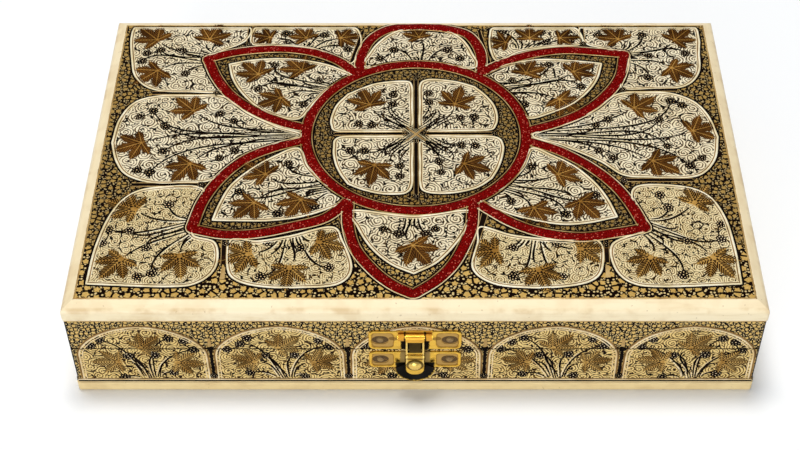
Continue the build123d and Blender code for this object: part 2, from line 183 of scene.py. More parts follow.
# Small gilt flowers packed over black, as the painter fills every space between the shapes.
flowers, at, out = new_group("gilt_flowers", "Gilt", "Dot")
reach, turns, edge, chance = around_cell(flowers, at, 3.7, 0.75)
five_waves = calc(flowers, "MULTIPLY", calc(flowers, "ADD", turns, chance[0]), 5 * 2 * math.pi)
size = calc(flowers, "MULTIPLY_ADD", chance[1], 0.4, 1.05)
lobes = calc(flowers, "MULTIPLY_ADD", calc(flowers, "COSINE", five_waves), 0.24, size)
inside = calc(flowers, "SUBTRACT", lobes, reach)
flower = calc(flowers, "MULTIPLY", step(flowers, inside, -0.06, 0.06), step(flowers, edge, 0.36, 0.5))
dot_reach, *_ = around_cell(flowers, at, 1.6, 0.8)
dot = calc(flowers, "MULTIPLY", step(flowers, calc(flowers, "SUBTRACT", 0.45, dot_reach), -0.06, 0.06),
           step(flowers, calc(flowers, "MULTIPLY", inside, -1.0), 0.3, 0.42))
flowers.links.new(calc(flowers, "MAXIMUM", flower, dot), out.inputs[0])
flowers.links.new(dot, out.inputs[1])


def use_group(tree, group, at):
    made = tree.nodes.new("ShaderNodeGroup")
    made.node_tree = group
    tree.links.new(at, made.inputs[0])
    return made.outputs


def gilt_ground(tree, at, dim=0.0, bolder=None):
    """Colour, roughness, metal and height of black ground with packed gilt flowers and dots.

    dim darkens the gilt. Where the mask bolder is 1 the flowers are a third bigger."""
    gilt, dot = use_group(tree, flowers, at)
    if bolder is not None:
        grown = use_group(tree, flowers, stretched(tree, at, *[0.76] * 3))
        gilt, dot = (add(tree, "Mix", bolder, None, small, large) for small, large in zip((gilt, dot), grown))
    patch = noise(tree, at, 0.09, 3.0)
    gold = mix(tree, patch, srgb(172, 130, 58), srgb(226, 188, 108))
    gold = mix(tree, calc(tree, "MULTIPLY", dot, 0.6), gold, srgb(232, 212, 160))
    flecks = step(tree, noise(tree, at, 1.7), 0.5, 0.75)
    gold = mix(tree, calc(tree, "MULTIPLY", flecks, 0.6), gold, srgb(240, 216, 150))
    gold = mix(tree, dim, gold, srgb(58, 34, 8))
    black = mix(tree, noise(tree, at, 0.6), srgb(7, 1, 0), srgb(22, 7, 1))
    colour = mix(tree, gilt, black, gold)
    rough = add(tree, "MapRange", gilt, 0.0, 1.0, 0.3, 0.46)
    metal = calc(tree, "MULTIPLY", gilt, 0.15)
    return colour, rough, metal, gilt


TOP = 56.0  # height of the painted top, in millimetres
PAINTED_HALF = (144.6, 90.6)  # half size of the gilt ground on it
POINTINESS = 7  # which output of the geometry node tells edges from hollows


def board_finish(name, painted_top, *cream_shades):
    """Cream lacquer. On the lid the flat top inside the bevel is the gilt ground."""
    made, tree, surface = material(name)
    at = place(tree)
    cloudy = noise(tree, at, 0.02, 4.0)
    cream = mix(tree, cloudy, *cream_shades)
    fibre = noise(tree, stretched(tree, at, 0.05, 0.05, 0.7), 1.0, 4.0)
    cream = mix(tree, calc(tree, "MULTIPLY", step(tree, fibre, 0.5, 0.75), 0.25), cream, srgb(216, 184, 128))
    specks = step(tree, noise(tree, at, 0.55, 1.0), 0.73, 0.78)
    cream = mix(tree, calc(tree, "MULTIPLY", specks, 0.35), cream, srgb(150, 112, 66))
    ridge = step(tree, add(tree, "NewGeometry", out=POINTINESS), 0.52, 0.6)
    rubbed = calc(tree, "MULTIPLY", ridge, step(tree, noise(tree, at, 0.12, 3.0), 0.4, 0.7))
    colour = mix(tree, calc(tree, "MULTIPLY", rubbed, 0.55), cream, srgb(205, 168, 110))
    rough = add(tree, "MapRange", cloudy, 0.3, 0.7, 0.3, 0.42)
    metal, gloss = 0.0, 0.25
    uneven = calc(tree, "MULTIPLY_ADD", noise(tree, at, 0.16, 3.0), 1.0, calc(tree, "MULTIPLY", fibre, 0.3))
    if painted_top:
        spot = parts(tree, at)
        beyond = [calc(tree, "SUBTRACT", calc(tree, "ABSOLUTE", spot[i]), PAINTED_HALF[i]) for i in (0, 1)]
        wavy = calc(tree, "MULTIPLY_ADD", noise(tree, at, 0.4), 0.5, calc(tree, "MAXIMUM", *beyond))
        above = step(tree, spot[2], TOP - 0.2, TOP - 0.1)
        top = calc(tree, "MULTIPLY", above, calc(tree, "LESS_THAN", wavy, 0.25))
        near = step(tree, spot[1], -50.0, -62.0)
        dim = add(tree, "MapRange", near, 0.0, 1.0, 0.34, 0.0)
        small = stretched(tree, at, *[1.18] * 3)
        ground, ground_rough, ground_metal, relief = gilt_ground(tree, small, dim, near)
        colour = mix(tree, top, colour, ground)
        rough = calc(tree, "MULTIPLY_ADD", top, calc(tree, "SUBTRACT", ground_rough, rough), rough)
        metal = calc(tree, "MULTIPLY", top, ground_metal)
        gloss = calc(tree, "MULTIPLY_ADD", top, -0.2, gloss)
        uneven = calc(tree, "MULTIPLY_ADD", calc(tree, "MULTIPLY", relief, top), 1.5, uneven)
    finish_with(tree, surface, Base_Color=colour, Roughness=rough, Metallic=metal,
                Specular_IOR_Level=gloss, Normal=bump(tree, uneven, 0.00012, 0.6))
    return made


paint_node("base_board",
           board_finish("cream_lacquer", False, srgb(243, 212, 148), srgb(252, 228, 172)))
paint_node("lid_top_board",
           board_finish("cream_lacquer_painted_top", True, srgb(247, 226, 180), srgb(253, 238, 204)))


# ==== Walls ====
# Eight mitred boards, four under the seam and four over it. Outside they carry the same gilt
# ground as the lid; the rims, the mitres and the inside are plain black lacquer.


FRONT = -95.5  # the painted faces of the walls
SIDE = 149.5


def wall_finish(name, plane, across, outward):
    """Gilt ground on the face that looks outward along the axis across, black lacquer elsewhere."""
    made, tree, surface = material(name)
    at = place(tree)
    ground, rough, metal, relief = gilt_ground(tree, place(tree, plane, 1550.0))
    face = calc(tree, "MULTIPLY", parts(tree, at)[across], outward)
    depth = (-FRONT if across == "Y" else SIDE) - 0.05
    outside = step(tree, face, depth - 0.06, depth)
    warm = mix(tree, calc(tree, "MULTIPLY", relief, 0.25), ground, srgb(244, 212, 138))
    plain = mix(tree, noise(tree, at, 0.3, 3.0), srgb(10, 7, 5), srgb(28, 19, 12))
    finish_with(tree, surface, Base_Color=mix(tree, outside, plain, warm),
                Roughness=rough, Metallic=calc(tree, "MULTIPLY", metal, outside), Specular_IOR_Level=0.05,
                Normal=bump(tree, calc(tree, "MULTIPLY", relief, outside), 0.00008))
    return made


for side, plane, across, outward in (("front", "XZY", "Y", -1.0), ("back", "XZY", "Y", 1.0),
                                     ("left", "YZX", "X", -1.0), ("right", "YZX", "X", 1.0)):
    finish = wall_finish(f"painted_wall_{side}", plane, across, outward)
    paint_node(f"base_wall_{side}", finish)
    paint_node(f"lid_wall_{side}", finish)


# ==== Cartouches of the lid ====
# The painter lays raised off-white cartouches over the gilt ground: four round the cross, six in
# the red petals and ten along the edges. Each is covered in fine off-white curls over brown.

MM = 0.001
RIM = 28.8  # height of the seam between base and lid
SEAM_HALF = 0.3  # the paint stops this far above and below the seam
MIDDLE = np.array([0.5, 10.7])  # of the red ring
RING = np.array([51.3, 49.6])  # its radii
# Nothing painted goes further than this from a face's middle line, or from the middle of the top.
FACE_REACH = {"top": 144.9, "front": 149.4, "back": 149.4, "left": 95.4, "right": 95.4}
TOP_RISE = 90.9


def smooth(points, closed=True, spacing=0.8):
    """An even path through points. A point marked with a third 1 stays a sharp corner."""
    spots = np.array([p[:2] for p in points], float)
    sharp = [len(p) > 2 and p[2] == 1 for p in points]
    count = len(spots)
    spans = count if closed else count - 1
    path = []
    for i in range(spans):
        a, b = spots[i], spots[(i + 1) % count]
        start = spots[(i - 1) % count] if (closed or i > 0) and not sharp[i] else 2 * a - b
        end_free = (closed or i + 2 < count) and not sharp[(i + 1) % count]
        end = spots[(i + 2) % count] if end_free else 2 * b - a
        steps = max(2, int(np.linalg.norm(b - a) / spacing))
        t = np.arange(steps)[:, None] / steps
        path.append(0.5 * (2 * a + (b - start) * t + (2 * start - 5 * a + 4 * b - end) * t**2
                           + (3 * a - start - 3 * b + end) * t**3))
    if not closed:
        path.append(spots[-1:])
    return np.concatenate(path)


def normals(path, closed):
    """Unit normals to the left of a path."""
    ahead = np.roll(path, -1, 0) - np.roll(path, 1, 0) if closed else np.gradient(path, axis=0)
    ahead /= np.linalg.norm(ahead, axis=1, keepdims=True) + 1e-9
    return np.stack([-ahead[:, 1], ahead[:, 0]], 1)


def contains(outline, points):
    """Which points lie inside a closed outline."""
    points = np.atleast_2d(points)
    x, y = points[:, :1], points[:, 1:2]
    ax, ay = outline[:, 0], outline[:, 1]
    bx, by = np.roll(ax, -1), np.roll(ay, -1)
    crosses = (ay > y) != (by > y)
    with np.errstate(divide="ignore", invalid="ignore"):
        hits = crosses & (x < (bx - ax) * (y - ay) / (by - ay) + ax)
    return hits.sum(1) % 2 == 1


class Relief:
    """Raised shapes gathered in millimetres on one flat face: along, up and out of it."""

    def __init__(self):
        self.points, self.faces, self.count = [], [], 0

    def take(self, points, faces):
        self.points.append(np.asarray(points, float))
        self.faces += [[i + self.count for i in face] for face in faces]
        self.count += len(points)

    def strip(self, path, width, height, lift=0.0, closed=False, section="round"):
        """A raised line. Width may be one number or one for each point of the path."""
        profile = {"round": ((-0.5, 0.0), (-0.36, 0.75), (0.0, 1.0), (0.36, 0.75), (0.5, 0.0)),
                   "ridge": ((-0.5, 0.0), (0.0, 1.0), (0.5, 0.0)),
                   "flat": ((-0.5, 0.0), (-0.47, 1.0), (0.47, 1.0), (0.5, 0.0))}[section]
        path = np.asarray(path, float)
        side = normals(path, closed)
        width = np.broadcast_to(np.asarray(width, float), len(path))
        rows = []
        for offset, rise in profile:
            spot = path + side * (width * offset)[:, None]
            rows.append(np.column_stack([spot, np.full(len(path), lift + height * rise)]))
        points = np.stack(rows, 1).reshape(-1, 3)
        n, k = len(path), len(profile)
        faces = []
        for i in range(n if closed else n - 1):
            a, b = i * k, ((i + 1) % n) * k
            faces += [[a + j, b + j, b + j + 1, a + j + 1] for j in range(k - 1)]
        self.take(points, faces)

    def slab(self, outline, thickness, lift=0.0):
        """A flat plate of the outline, with its edge."""
        n = len(outline)
        top = np.column_stack([outline, np.full(n, lift + thickness)])
        low = np.column_stack([outline, np.full(n, lift - 0.02)])
        spots = [Vector((x, y, 0.0)) for x, y in outline]
        faces = [[int(i) for i in triangle] for triangle in tessellate_polygon([spots])]
        faces += [[i, i + n, (i + 1) % n + n, (i + 1) % n] for i in range(n)]
        self.take(np.concatenate([top, low]), faces)

    def dome(self, middle, radius, height, lift=0.0, sides=8, turn=0.0):
        """A low round dot."""
        angle = turn + np.arange(sides) * 2 * math.pi / sides
        ring = np.stack([np.cos(angle), np.sin(angle)], 1) * radius
        points = [np.column_stack([ring + middle, np.full(sides, lift)]),
                  np.column_stack([ring * 0.62 + middle, np.full(sides, lift + height * 0.8)]),
                  [[*middle, lift + height]]]
        faces = [[i, (i + 1) % sides, (i + 1) % sides + sides, i + sides] for i in range(sides)]
        faces += [[i + sides, (i + 1) % sides + sides, 2 * sides] for i in range(sides)]
        self.take(np.concatenate(points), faces)

    def lay(self, name, face, body, finish, keep=None):
        """Makes the piece of painted relief on a face of the box, or adds to the piece of that name.

        With keep only what lies above or below the seam is used."""
        u, v, out = np.concatenate(self.points).T
        u = np.clip(u, -FACE_REACH[face], FACE_REACH[face])
        v = np.clip(v, -TOP_RISE, TOP_RISE)
        spots = {"top": (u, v, TOP + out), "front": (u, FRONT - out, v), "back": (-u, -FRONT + out, v),
                 "left": (-SIDE - out, -u, v), "right": (SIDE + out, u, v)}[face]
        mesh = bpy.data.meshes.new(name)
        mesh.from_pydata(np.stack(spots, 1) * MM, [], self.faces)
        cut = bmesh.new()
        cut.from_mesh(mesh)
        bpy.data.meshes.remove(mesh)
        if keep:
            height = (RIM + (SEAM_HALF if keep == "above" else -SEAM_HALF)) * MM
            everything = cut.verts[:] + cut.edges[:] + cut.faces[:]
            bmesh.ops.bisect_plane(cut, geom=everything, plane_co=(0, 0, height), plane_no=(0, 0, 1),
                                   clear_inner=keep == "above", clear_outer=keep == "below")
        bmesh.ops.recalc_face_normals(cut, faces=cut.faces[:])
        piece = bpy.data.objects.get(name)
        if piece:
            cut.from_mesh(piece.data)
            cut.to_mesh(piece.data)
        elif cut.faces:
            mesh = bpy.data.meshes.new(name)
            cut.to_mesh(mesh)
            mesh.materials.append(finish)
            piece = bpy.data.objects.new(name, mesh)
            bpy.context.scene.collection.objects.link(piece)
            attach(piece, body)
        cut.free()


# Curls of off-white paint: a spiral in each cell, wound either way.
curls, at, out = new_group("curled_lines", "Line", "Dot")
drift = add(curls, "TexNoise", at, None, 0.42, 2.0, out=1)
drift = add(curls, "VectorMath", drift, (0.5, 0.5, 0.5), operation="SUBTRACT")
wandering = add(curls, "VectorMath", at, stretched(curls, drift, 1.5, 1.5, 0.0), operation="ADD")
reach, turns, edge, chance = around_cell(curls, wandering, 5.6, 0.9)
hand = calc(curls, "MULTIPLY_ADD", calc(curls, "GREATER_THAN", chance[0], 0.5), 2.0, -1.0)
wound = calc(curls, "MULTIPLY_ADD", turns, hand, calc(curls, "MULTIPLY_ADD", reach, 0.9, chance[1]))
wave = calc(curls, "PINGPONG", wound, 0.5)
loose = calc(curls, "MULTIPLY_ADD", noise(curls, at, 0.3, 2.0), 0.4, -0.2)
line = step(curls, calc(curls, "ADD", wave, loose), 0.15, 0.21)
border = calc(curls, "MULTIPLY_ADD", noise(curls, at, 0.45, 1.0), 2.4, -1.12)
curls.links.new(line, out.inputs[0])
black = step(curls, calc(curls, "SUBTRACT", border, edge), -0.05, 0.06)
reach, _, _, chance = around_cell(curls, at, 2.9, 1.0)
dot = calc(curls, "SUBTRACT", calc(curls, "MULTIPLY", chance[2], 0.55), reach)
curls.links.new(calc(curls, "MAXIMUM", black, step(curls, dot, -0.03, 0.03)), out.inputs[1])


def curled_finish(name, plane, fineness, line_shades, gap_shades, hollow=(13, 6, 2)):
    """Off-white curls over brown, with black in the hollows between them and scattered black dots."""
    made, tree, surface = material(name)
    at = place(tree, plane, 1000.0 * fineness)
    line, dot = use_group(tree, curls, at)
    patch = noise(tree, at, 0.05, 3.0)
    pale = mix(tree, patch, srgb(*line_shades[0]), srgb(*line_shades[1]))
    gap = mix(tree, noise(tree, at, 0.7, 2.0), srgb(*gap_shades[0]), srgb(*gap_shades[1]))
    colour = mix(tree, line, gap, pale)
    colour = mix(tree, dot, colour, srgb(*hollow))
    rough = add(tree, "MapRange", line, 0.0, 1.0, 0.5, 0.34)
    finish_with(tree, surface, Base_Color=colour, Roughness=rough, Specular_IOR_Level=0.07,
                Normal=bump(tree, line, 0.0001))
    return made


# On the top the curls are painted whiter and their gaps darker than the paint alone: off-white over brown,
# with painted highlight on the raised curls and painted shade between them.
top_curls = curled_finish("curled_ground_top", "XYZ", 0.84,
                          ((230, 210, 164), (255, 247, 220)), ((50, 28, 6), (108, 76, 30)))
front_curls = curled_finish("curled_ground_front", "XYZ", 1.1,
                            ((226, 204, 146), (250, 234, 192)), ((84, 56, 16), (150, 114, 52)))

CARTOUCHES = [  # name, where its stems start, outline, leaves, black flowers
    ("quarter_1", (0.2, 10.9),
     [(-5, 47.8), (-17.5, 46.3), (-25, 42.8), (-32, 38.4, 1), (-37, 30.6), (-39.2, 22), (-39, 17),
      (-36.3, 13), (-22, 12.8), (-6, 12.8), (-1.6, 16.5), (-1.5, 31), (-1.7, 44.5)],
     [(-21.5, 31)],
     [(-10.5, 38.5), (-10.5, 31.5), (-26.5, 18), (-20.5, 17)]),
    ("quarter_2", (0.2, 10.9),
     [(5.5, 48.7), (11, 49), (20, 47.3), (28.5, 43.8, 1), (33.5, 37.7), (37.3, 30.6), (38.6, 23),
      (37.6, 16.8), (34.3, 13.7), (19, 13.2), (6, 13), (2.5, 16.5), (2.5, 31), (2.6, 45)],
     [(19, 31.5)],
     [(6.5, 39.5), (6.5, 33), (21.5, 22), (28, 22.5)]),
    ("quarter_3", (0.2, 10.9),
     [(-35, 8.4), (-17, 9), (-5, 9), (-1.5, 5.5), (-1.5, -9), (-1.5, -22), (-4, -27.4), (-10, -28.4),
      (-16.5, -27.8), (-24, -25.3), (-30.2, -22, 1), (-34, -15), (-36.5, -7.5), (-37.4, 1.3)],
     [(-18.5, -10)],
     [(-30, -0.5), (-23.5, -0.5), (-7, -10.5), (-7, -17)]),
    ("quarter_4", (0.2, 10.9),
     [(6, 9.2), (21, 9.2), (37, 8.7), (40.6, 3.6), (39.9, -4.2), (37.7, -11.9), (34.7, -18.4, 1),
      (28.6, -23.7), (20.3, -26.9), (11.2, -27.9), (4.3, -26.4), (2.5, -21.5), (2.5, -9), (2.5, 5.5)],
     [(22.5, -9)],
     [(21.5, 3.5), (28, 3), (11, -7.5), (12, -14.5)]),
    ("petal_1", (-41, 42),
     [(-90.5, 60.5, 1), (-79, 63.5), (-65, 64.5), (-51, 62.5), (-39, 58), (-28, 49), (-41, 43), (-49, 31),
      (-55, 21.5), (-65, 23.5), (-75, 30), (-83, 40), (-88, 50)],
     [(-76, 53), (-55, 56), (-64, 36)],
     [(-68.5, 60), (-75.5, 42.5), (-46.5, 48), (-53, 31.5)]),
    ("petal_2", (40, 42),
     [(91, 61, 1), (88, 50), (83, 41), (75, 32), (65, 26), (53, 22), (47, 33), (40, 43), (29, 50), (39, 57.5),
      (51, 62), (63, 64), (77, 63)],
     [(54, 54), (77, 55), (69, 35)],
     [(65.5, 60.5), (80, 44), (47, 48), (52, 31.5)]),
    ("petal_3", (-40, -23),
     [(-89.5, -44.6, 1), (-87.2, -34.5), (-83, -23), (-75, -13), (-65, -4.5), (-54, 1), (-49, -11),
      (-41, -21), (-28, -30), (-39, -37.5), (-51, -42.5), (-65, -44.8), (-78, -44.8)],
     [(-68, -16), (-72, -34), (-51, -32)],
     [(-61, -41), (-79, -27), (-58, -9), (-45, -37)]),
    ("petal_4", (41, -23),
     [(89.5, -42.5, 1), (77, -46), (65, -47), (51, -44), (39, -39), (29, -31.5), (40, -23), (49, -11),
      (54, 1), (63, -3.5), (73, -11), (81, -21), (86, -31)],
     [(65, -16), (74, -33), (53, -37)],
     [(53, -11), (67, -41), (43, -33), (81, -29)]),
    ("petal_5", (2.5, 59),
     [(-23.5, 58), (-21.5, 70), (-15, 80.5), (-7, 86.5), (3, 89), (13, 87), (22, 81), (27.5, 70), (28.5, 58),
      (3, 61)],
     [(2, 81)],
     [(-10.5, 71.5), (16, 71.5), (-17, 65), (22, 65)]),
    ("petal_6", (-1.5, -41.5),
     [(-27.5, -39), (-25, -49), (-19, -61), (-10.5, -70.5), (-0.5, -76.2, 1), (9.5, -69.5), (17.5, -59),
      (22.5, -49), (24, -39), (-0.5, -42.5)],
     [(-1, -60)],
     [(-14, -50), (9, -50), (-7, -53), (5, -53)]),
    ("back_left", (-100.5, 65.5),
     [(-139.5, 90), (-115, 90), (-85, 90), (-84, 79), (-95, 71), (-102, 65), (-98, 53), (-92.5, 41),
      (-109, 40.5), (-123, 41.5), (-133, 48), (-138, 61)],
     [(-128, 79), (-102, 79.5), (-125, 56)],
     [(-125.5, 71.5), (-132, 69), (-133.5, 63), (-111.5, 54), (-97, 76), (-115, 71)]),
    ("left_middle", (-54, 10),
     [(-140.5, 5, 1), (-139, 21), (-133, 33), (-121, 37.5), (-105, 37.5), (-92, 37), (-79, 25), (-65, 16),
      (-53, 10), (-65, 3), (-79, -7), (-92, -19), (-105, -21), (-119, -21), (-131, -16), (-137, -7)],
     [(-105, 27), (-127, 5), (-103, -9)],
     [(-130, 23), (-124, 27), (-117, 16), (-92, 25), (-85.5, 20), (-83.5, 0), (-90, -5), (-116.5, -0.5),
      (-127, -13), (-121, -14.5)]),
    ("front_left", (-98.5, -49),
     [(-140, -82, 1), (-139, -61), (-135, -41), (-128, -29), (-117, -24.5), (-97, -24.5), (-95, -37),
      (-98, -53), (-87.5, -58.5), (-86, -72), (-92.5, -81), (-105, -83.5)],
     [(-125, -38), (-127, -68), (-102, -66)],
     [(-110, -35), (-135, -50), (-136.5, -58.5), (-125.5, -51), (-117, -61), (-119, -78), (-113, -76),
      (-97, -50)]),
    ("front_mid_left", (-55, -53.5),
     [(-80.5, -57), (-69, -57.5), (-55, -54.5), (-37, -49), (-32, -57), (-27.5, -73), (-33, -82), (-49, -84),
      (-65, -83.5), (-76, -80), (-80.5, -73)],
     [(-72, -65), (-54, -73), (-42, -58)],
     [(-64, -58), (-66, -78), (-37, -73), (-49, -61)]),
    ("front_mid_right", (53, -53.5),
     [(29, -49), (43, -54), (63, -57), (80, -57.5), (80.6, -72), (75.5, -80), (63, -83.5), (47, -84),
      (33, -81.5), (25, -73), (27.5, -58)],
     [(35, -63), (53, -74), (72, -62)],
     [(42, -78), (63, -78), (62, -59), (43, -61)]),
    ("front_right", (102, -48),
     [(139, -82, 1), (105, -83.5), (92, -81), (86, -72), (86.5, -59), (100, -52), (103, -49), (98, -37),
      (100, -24), (119, -23.5), (131, -29), (137, -42), (139, -61)],
     [(125, -34), (102, -67), (129, -67)],
     [(110, -29), (135, -47), (113, -37), (134, -56), (115, -77), (119, -57)]),
    ("right_middle", (56, 10),
     [(141, 9, 1), (138, -5), (131, -15), (121, -18), (107, -17.5), (95, -16), (85, -7), (69, 3), (55, 10),
      (69, 18), (85, 27), (97, 38.5), (111, 40), (123, 39), (133, 33), (138.5, 23)],
     [(104, 29), (130, 13), (109, -7)],
     [(122, 34), (127, 31), (115, 21), (91, 21), (85, 17), (85, 0), (91, -5), (117, 3), (126, -10),
      (132, -5)]),
    ("back_right", (103, 67.5),
     [(84.5, 90), (111, 90), (139, 90), (139.5, 67), (137, 53), (129, 44.5), (115, 43), (99.5, 43.5),
      (103, 57), (104, 67), (95, 72), (84.5, 77)],
     [(101, 79.5), (129, 79), (125, 58)],
     [(113, 83), (115, 67), (133, 69), (113, 51), (91, 83)]),
    ("back_mid_left", (-54, 72),
     [(-80.5, 87), (-76, 89.5), (-55, 90), (-33, 89.5), (-27.5, 83), (-27.5, 71), (-33, 61), (-51, 72),
      (-69, 75), (-80.5, 76)],
     [(-72, 81), (-54, 80.5), (-37, 80.5)],
     [(-64, 84), (-45, 83), (-63, 77), (-33, 72)]),
    ("back_mid_right", (54, 71),
     [(37.5, 71), (37.5, 83), (41, 89), (61, 90), (77, 89.5), (82, 85), (82, 76), (67, 74), (51, 70),
      (41, 63)],
     [(45, 77), (57, 80.5), (72, 80.5)],
     [(43, 85), (63, 85), (65, 77), (77, 79)]),
]

PETALS = [  # the middle line of each red petal, from ring to tip and back to the ring
    [(-28, 53), (-37, 62.5), (-49, 69), (-63, 72), (-77, 71.5), (-90, 69), (-101.5, 64.5, 1), (-96, 50.5),
     (-87.5, 37), (-75, 26), (-63, 19), (-52, 15)],
    [(31, 53.5), (43.5, 62), (57.5, 68), (73, 71), (88, 70), (103, 68, 1), (99, 50.5), (90, 36), (78.5, 25),
     (66, 18), (53, 13)],
    [(-52, 6.5), (-65.5, 1.5), (-78, -6), (-88, -18), (-95, -33), (-98.5, -50, 1), (-84, -53.5), (-70, -53),
     (-55, -49), (-40, -43.5), (-30, -33)],
    [(53, 6), (66.5, -0.5), (79.5, -10.5), (89.5, -22), (96, -34), (101.5, -49.5, 1), (88, -52.5), (73, -55),
     (56.5, -52.5), (42.5, -46), (29, -35)],
    [(-26.5, 53), (-26.5, 66), (-22, 79), (-13.5, 87), (-3, 89), (7, 89), (18, 87), (27, 82), (32.3, 69),
     (32, 53)],
    [(-30, -33), (-29.5, -48), (-26, -62), (-18, -74.5), (-9.5, -83), (-0.6, -88.2, 1), (9, -80.5),
     (16.5, -71), (22, -58.5), (25, -48), (26, -33)],
]
ring_angle = np.linspace(0, 2 * math.pi, 320, endpoint=False)
ring = MIDDLE + RING * np.stack([np.cos(ring_angle), np.sin(ring_angle)], 1)
petals = [smooth(points, closed=False) for points in PETALS]
red_shapes = [ring] + [np.concatenate([petal, [MIDDLE]]) for petal in petals]


def runs(path, keep, least=3):
    """The stretches of a path whose points are kept."""
    stretches, start = [], None
    for i, kept in enumerate([*keep, False]):
        if kept and start is None:
            start = i
        elif not kept and start is not None:
            if i - start >= least:
                stretches.append(path[start:i])
            start = None
    return stretches


def seen(path, name):
    """Which points of an edge cartouche's line lie outside the red shapes."""
    if name.startswith(("quarter", "petal")):
        return np.ones(len(path), bool)
    hidden = np.zeros(len(path), bool)
    for shape in red_shapes:
        hidden |= contains(shape, path)
    return ~hidden


def off_the_ring(path, name):
    """A petal's cartouche runs in under the ring, but not out on the other side of it."""
    if not name.startswith("petal"):
        return path
    away = path - MIDDLE
    reach = np.linalg.norm(away / RING, axis=1, keepdims=True)
    return MIDDLE + away * np.maximum(reach, 1.0) / reach


def by_kind(name, otherwise, **values):
    """The value for a cartouche's kind, which is the first word of its name."""
    return values.get(name.split("_")[0], otherwise)


def lift_of(name):
    """The inner cartouches lie on the ground of the ring and the petals."""
    return by_kind(name, 0.05, quarter=0.16, petal=0.12)


grounds = {}
for name, root, outline, leaves, berries in CARTOUCHES:
    edge = np.clip(off_the_ring(smooth(outline), name), (-141, -86), (141, 88.2))
    twice_area = sum(edge[:, 0] * np.roll(edge[:, 1], -1) - np.roll(edge[:, 0], -1) * edge[:, 1])
    grounds[name] = edge[::-1] if twice_area > 0 else edge  # clockwise
    ground = Relief()
    ground.slab(grounds[name], 0.0, lift_of(name))
    piece, curled = ("front_cartouches", front_curls) if "front" in name else ("cartouches", top_curls)
    ground.lay(piece, "top", "lid", curled)

# Inside the ring and the petals the gilt ground lies over whatever edge cartouche runs in there.
for piece, shade, dim, numbers in (("ring_and_petal_grounds", "dim", 0.5, range(6)),
                                   ("front_petal_ground", "bright", 0.1, (6,))):
    made, tree, surface = material(f"gilt_ground_{shade}")
    ground, rough, metal, relief = gilt_ground(tree, place(tree, size=1450.0), dim)
    finish_with(tree, surface, Base_Color=ground, Roughness=rough, Metallic=metal, Specular_IOR_Level=0.05,
                Normal=bump(tree, relief, 0.00008))
    for number in numbers:
        ground = Relief()
        ground.slab(red_shapes[number], 0.0, 0.08 if number else 0.1)
        ground.lay(piece, "top", "lid", made)


# ==== Outlines of the cartouches ====
# Each cartouche is bound by a raised off-white line, squeezed on and rubbed at its crown, with a
# black line and a thin gilt line outside it. Black bars with gilt edges part the cartouches.


def line_finish(name, dark, light, roughness, metal=0.0, grain=0.8, depth=0.00005, gloss=0.12):
    """Brushed paint: two shades in cloudy patches, with a fine grain of the darker one."""
    made, tree, surface = material(name)
    at = place(tree)
    patch = step(tree, noise(tree, at, 0.11, 3.0), 0.3, 0.7)
    colour = mix(tree, patch, srgb(*dark), srgb(*light))
    fine = noise(tree, at, grain, 3.0)
    colour = mix(tree, calc(tree, "MULTIPLY", step(tree, fine, 0.55, 0.72), 0.4), colour, srgb(*dark))
    rough = add(tree, "MapRange", fine, 0.3, 0.7, roughness - 0.06, roughness + 0.08)
    finish_with(tree, surface, Base_Color=colour, Roughness=rough, Metallic=metal, Specular_IOR_Level=gloss,
                Normal=bump(tree, fine, depth))
    return made


pale_line = line_finish("off_white_line", (230, 210, 160), (254, 246, 218), 0.36, gloss=0.25)
pale_gold_line = line_finish("pale_gold_line", (220, 188, 130), (252, 232, 190), 0.38, gloss=0.2)
gilt_line = line_finish("gilt_line", (160, 122, 64), (214, 182, 122), 0.38, metal=0.15)
black_line = line_finish("black_line", (5, 2, 1), (24, 12, 5), 0.5, gloss=0.03)
brown_line = line_finish("brown_line", (104, 74, 34), (164, 126, 72), 0.45, gloss=0.05)

pale, gilt, black, brown = (Relief() for _ in range(4))


def bind(outline, name, lift):
    """The lines round a cartouche, outside in: black, thick off-white, brown, thin off-white."""
    out = normals(outline, True)
    lines = [(black, 0.95, 1.0, 0.06), (pale, 0.1, 1.0, 0.3), (brown, -0.65, 0.55, 0.1),
             (pale, -1.1, 0.42, 0.2)]
    for relief, offset, width, height in lines:
        path = outline + out * offset
        keep = seen(path, name)
        if name.startswith("quarter"):
            keep &= np.linalg.norm(path - MIDDLE, axis=1) > 6.0
        if keep.all():
            relief.strip(path, width, height, lift, closed=True)
        else:
            first = int(np.argmin(keep))
            path, keep = np.roll(path, -first, 0), np.roll(keep, -first)
            for stretch in runs(path, keep):
                relief.strip(stretch, width, height, lift)


def bar(start, end, width, lift, taper=1.0):
    """A black bar between two cartouches, with a gilt edge on each side."""
    start, end = np.array(start, float), np.array(end, float)
    count = max(3, int(np.linalg.norm(end - start) / 2))
    path = start + (end - start) * np.linspace(0, 1, count)[:, None]
    widths = width * np.linspace(1.0, taper, count)
    black.strip(path, widths + 0.8, 0.2, lift, section="flat")
    for side in (-1, 1):
        gilt.strip(path + normals(path, False) * side * (widths / 2 + 0.15)[:, None], 0.3, 0.14, lift + 0.2)


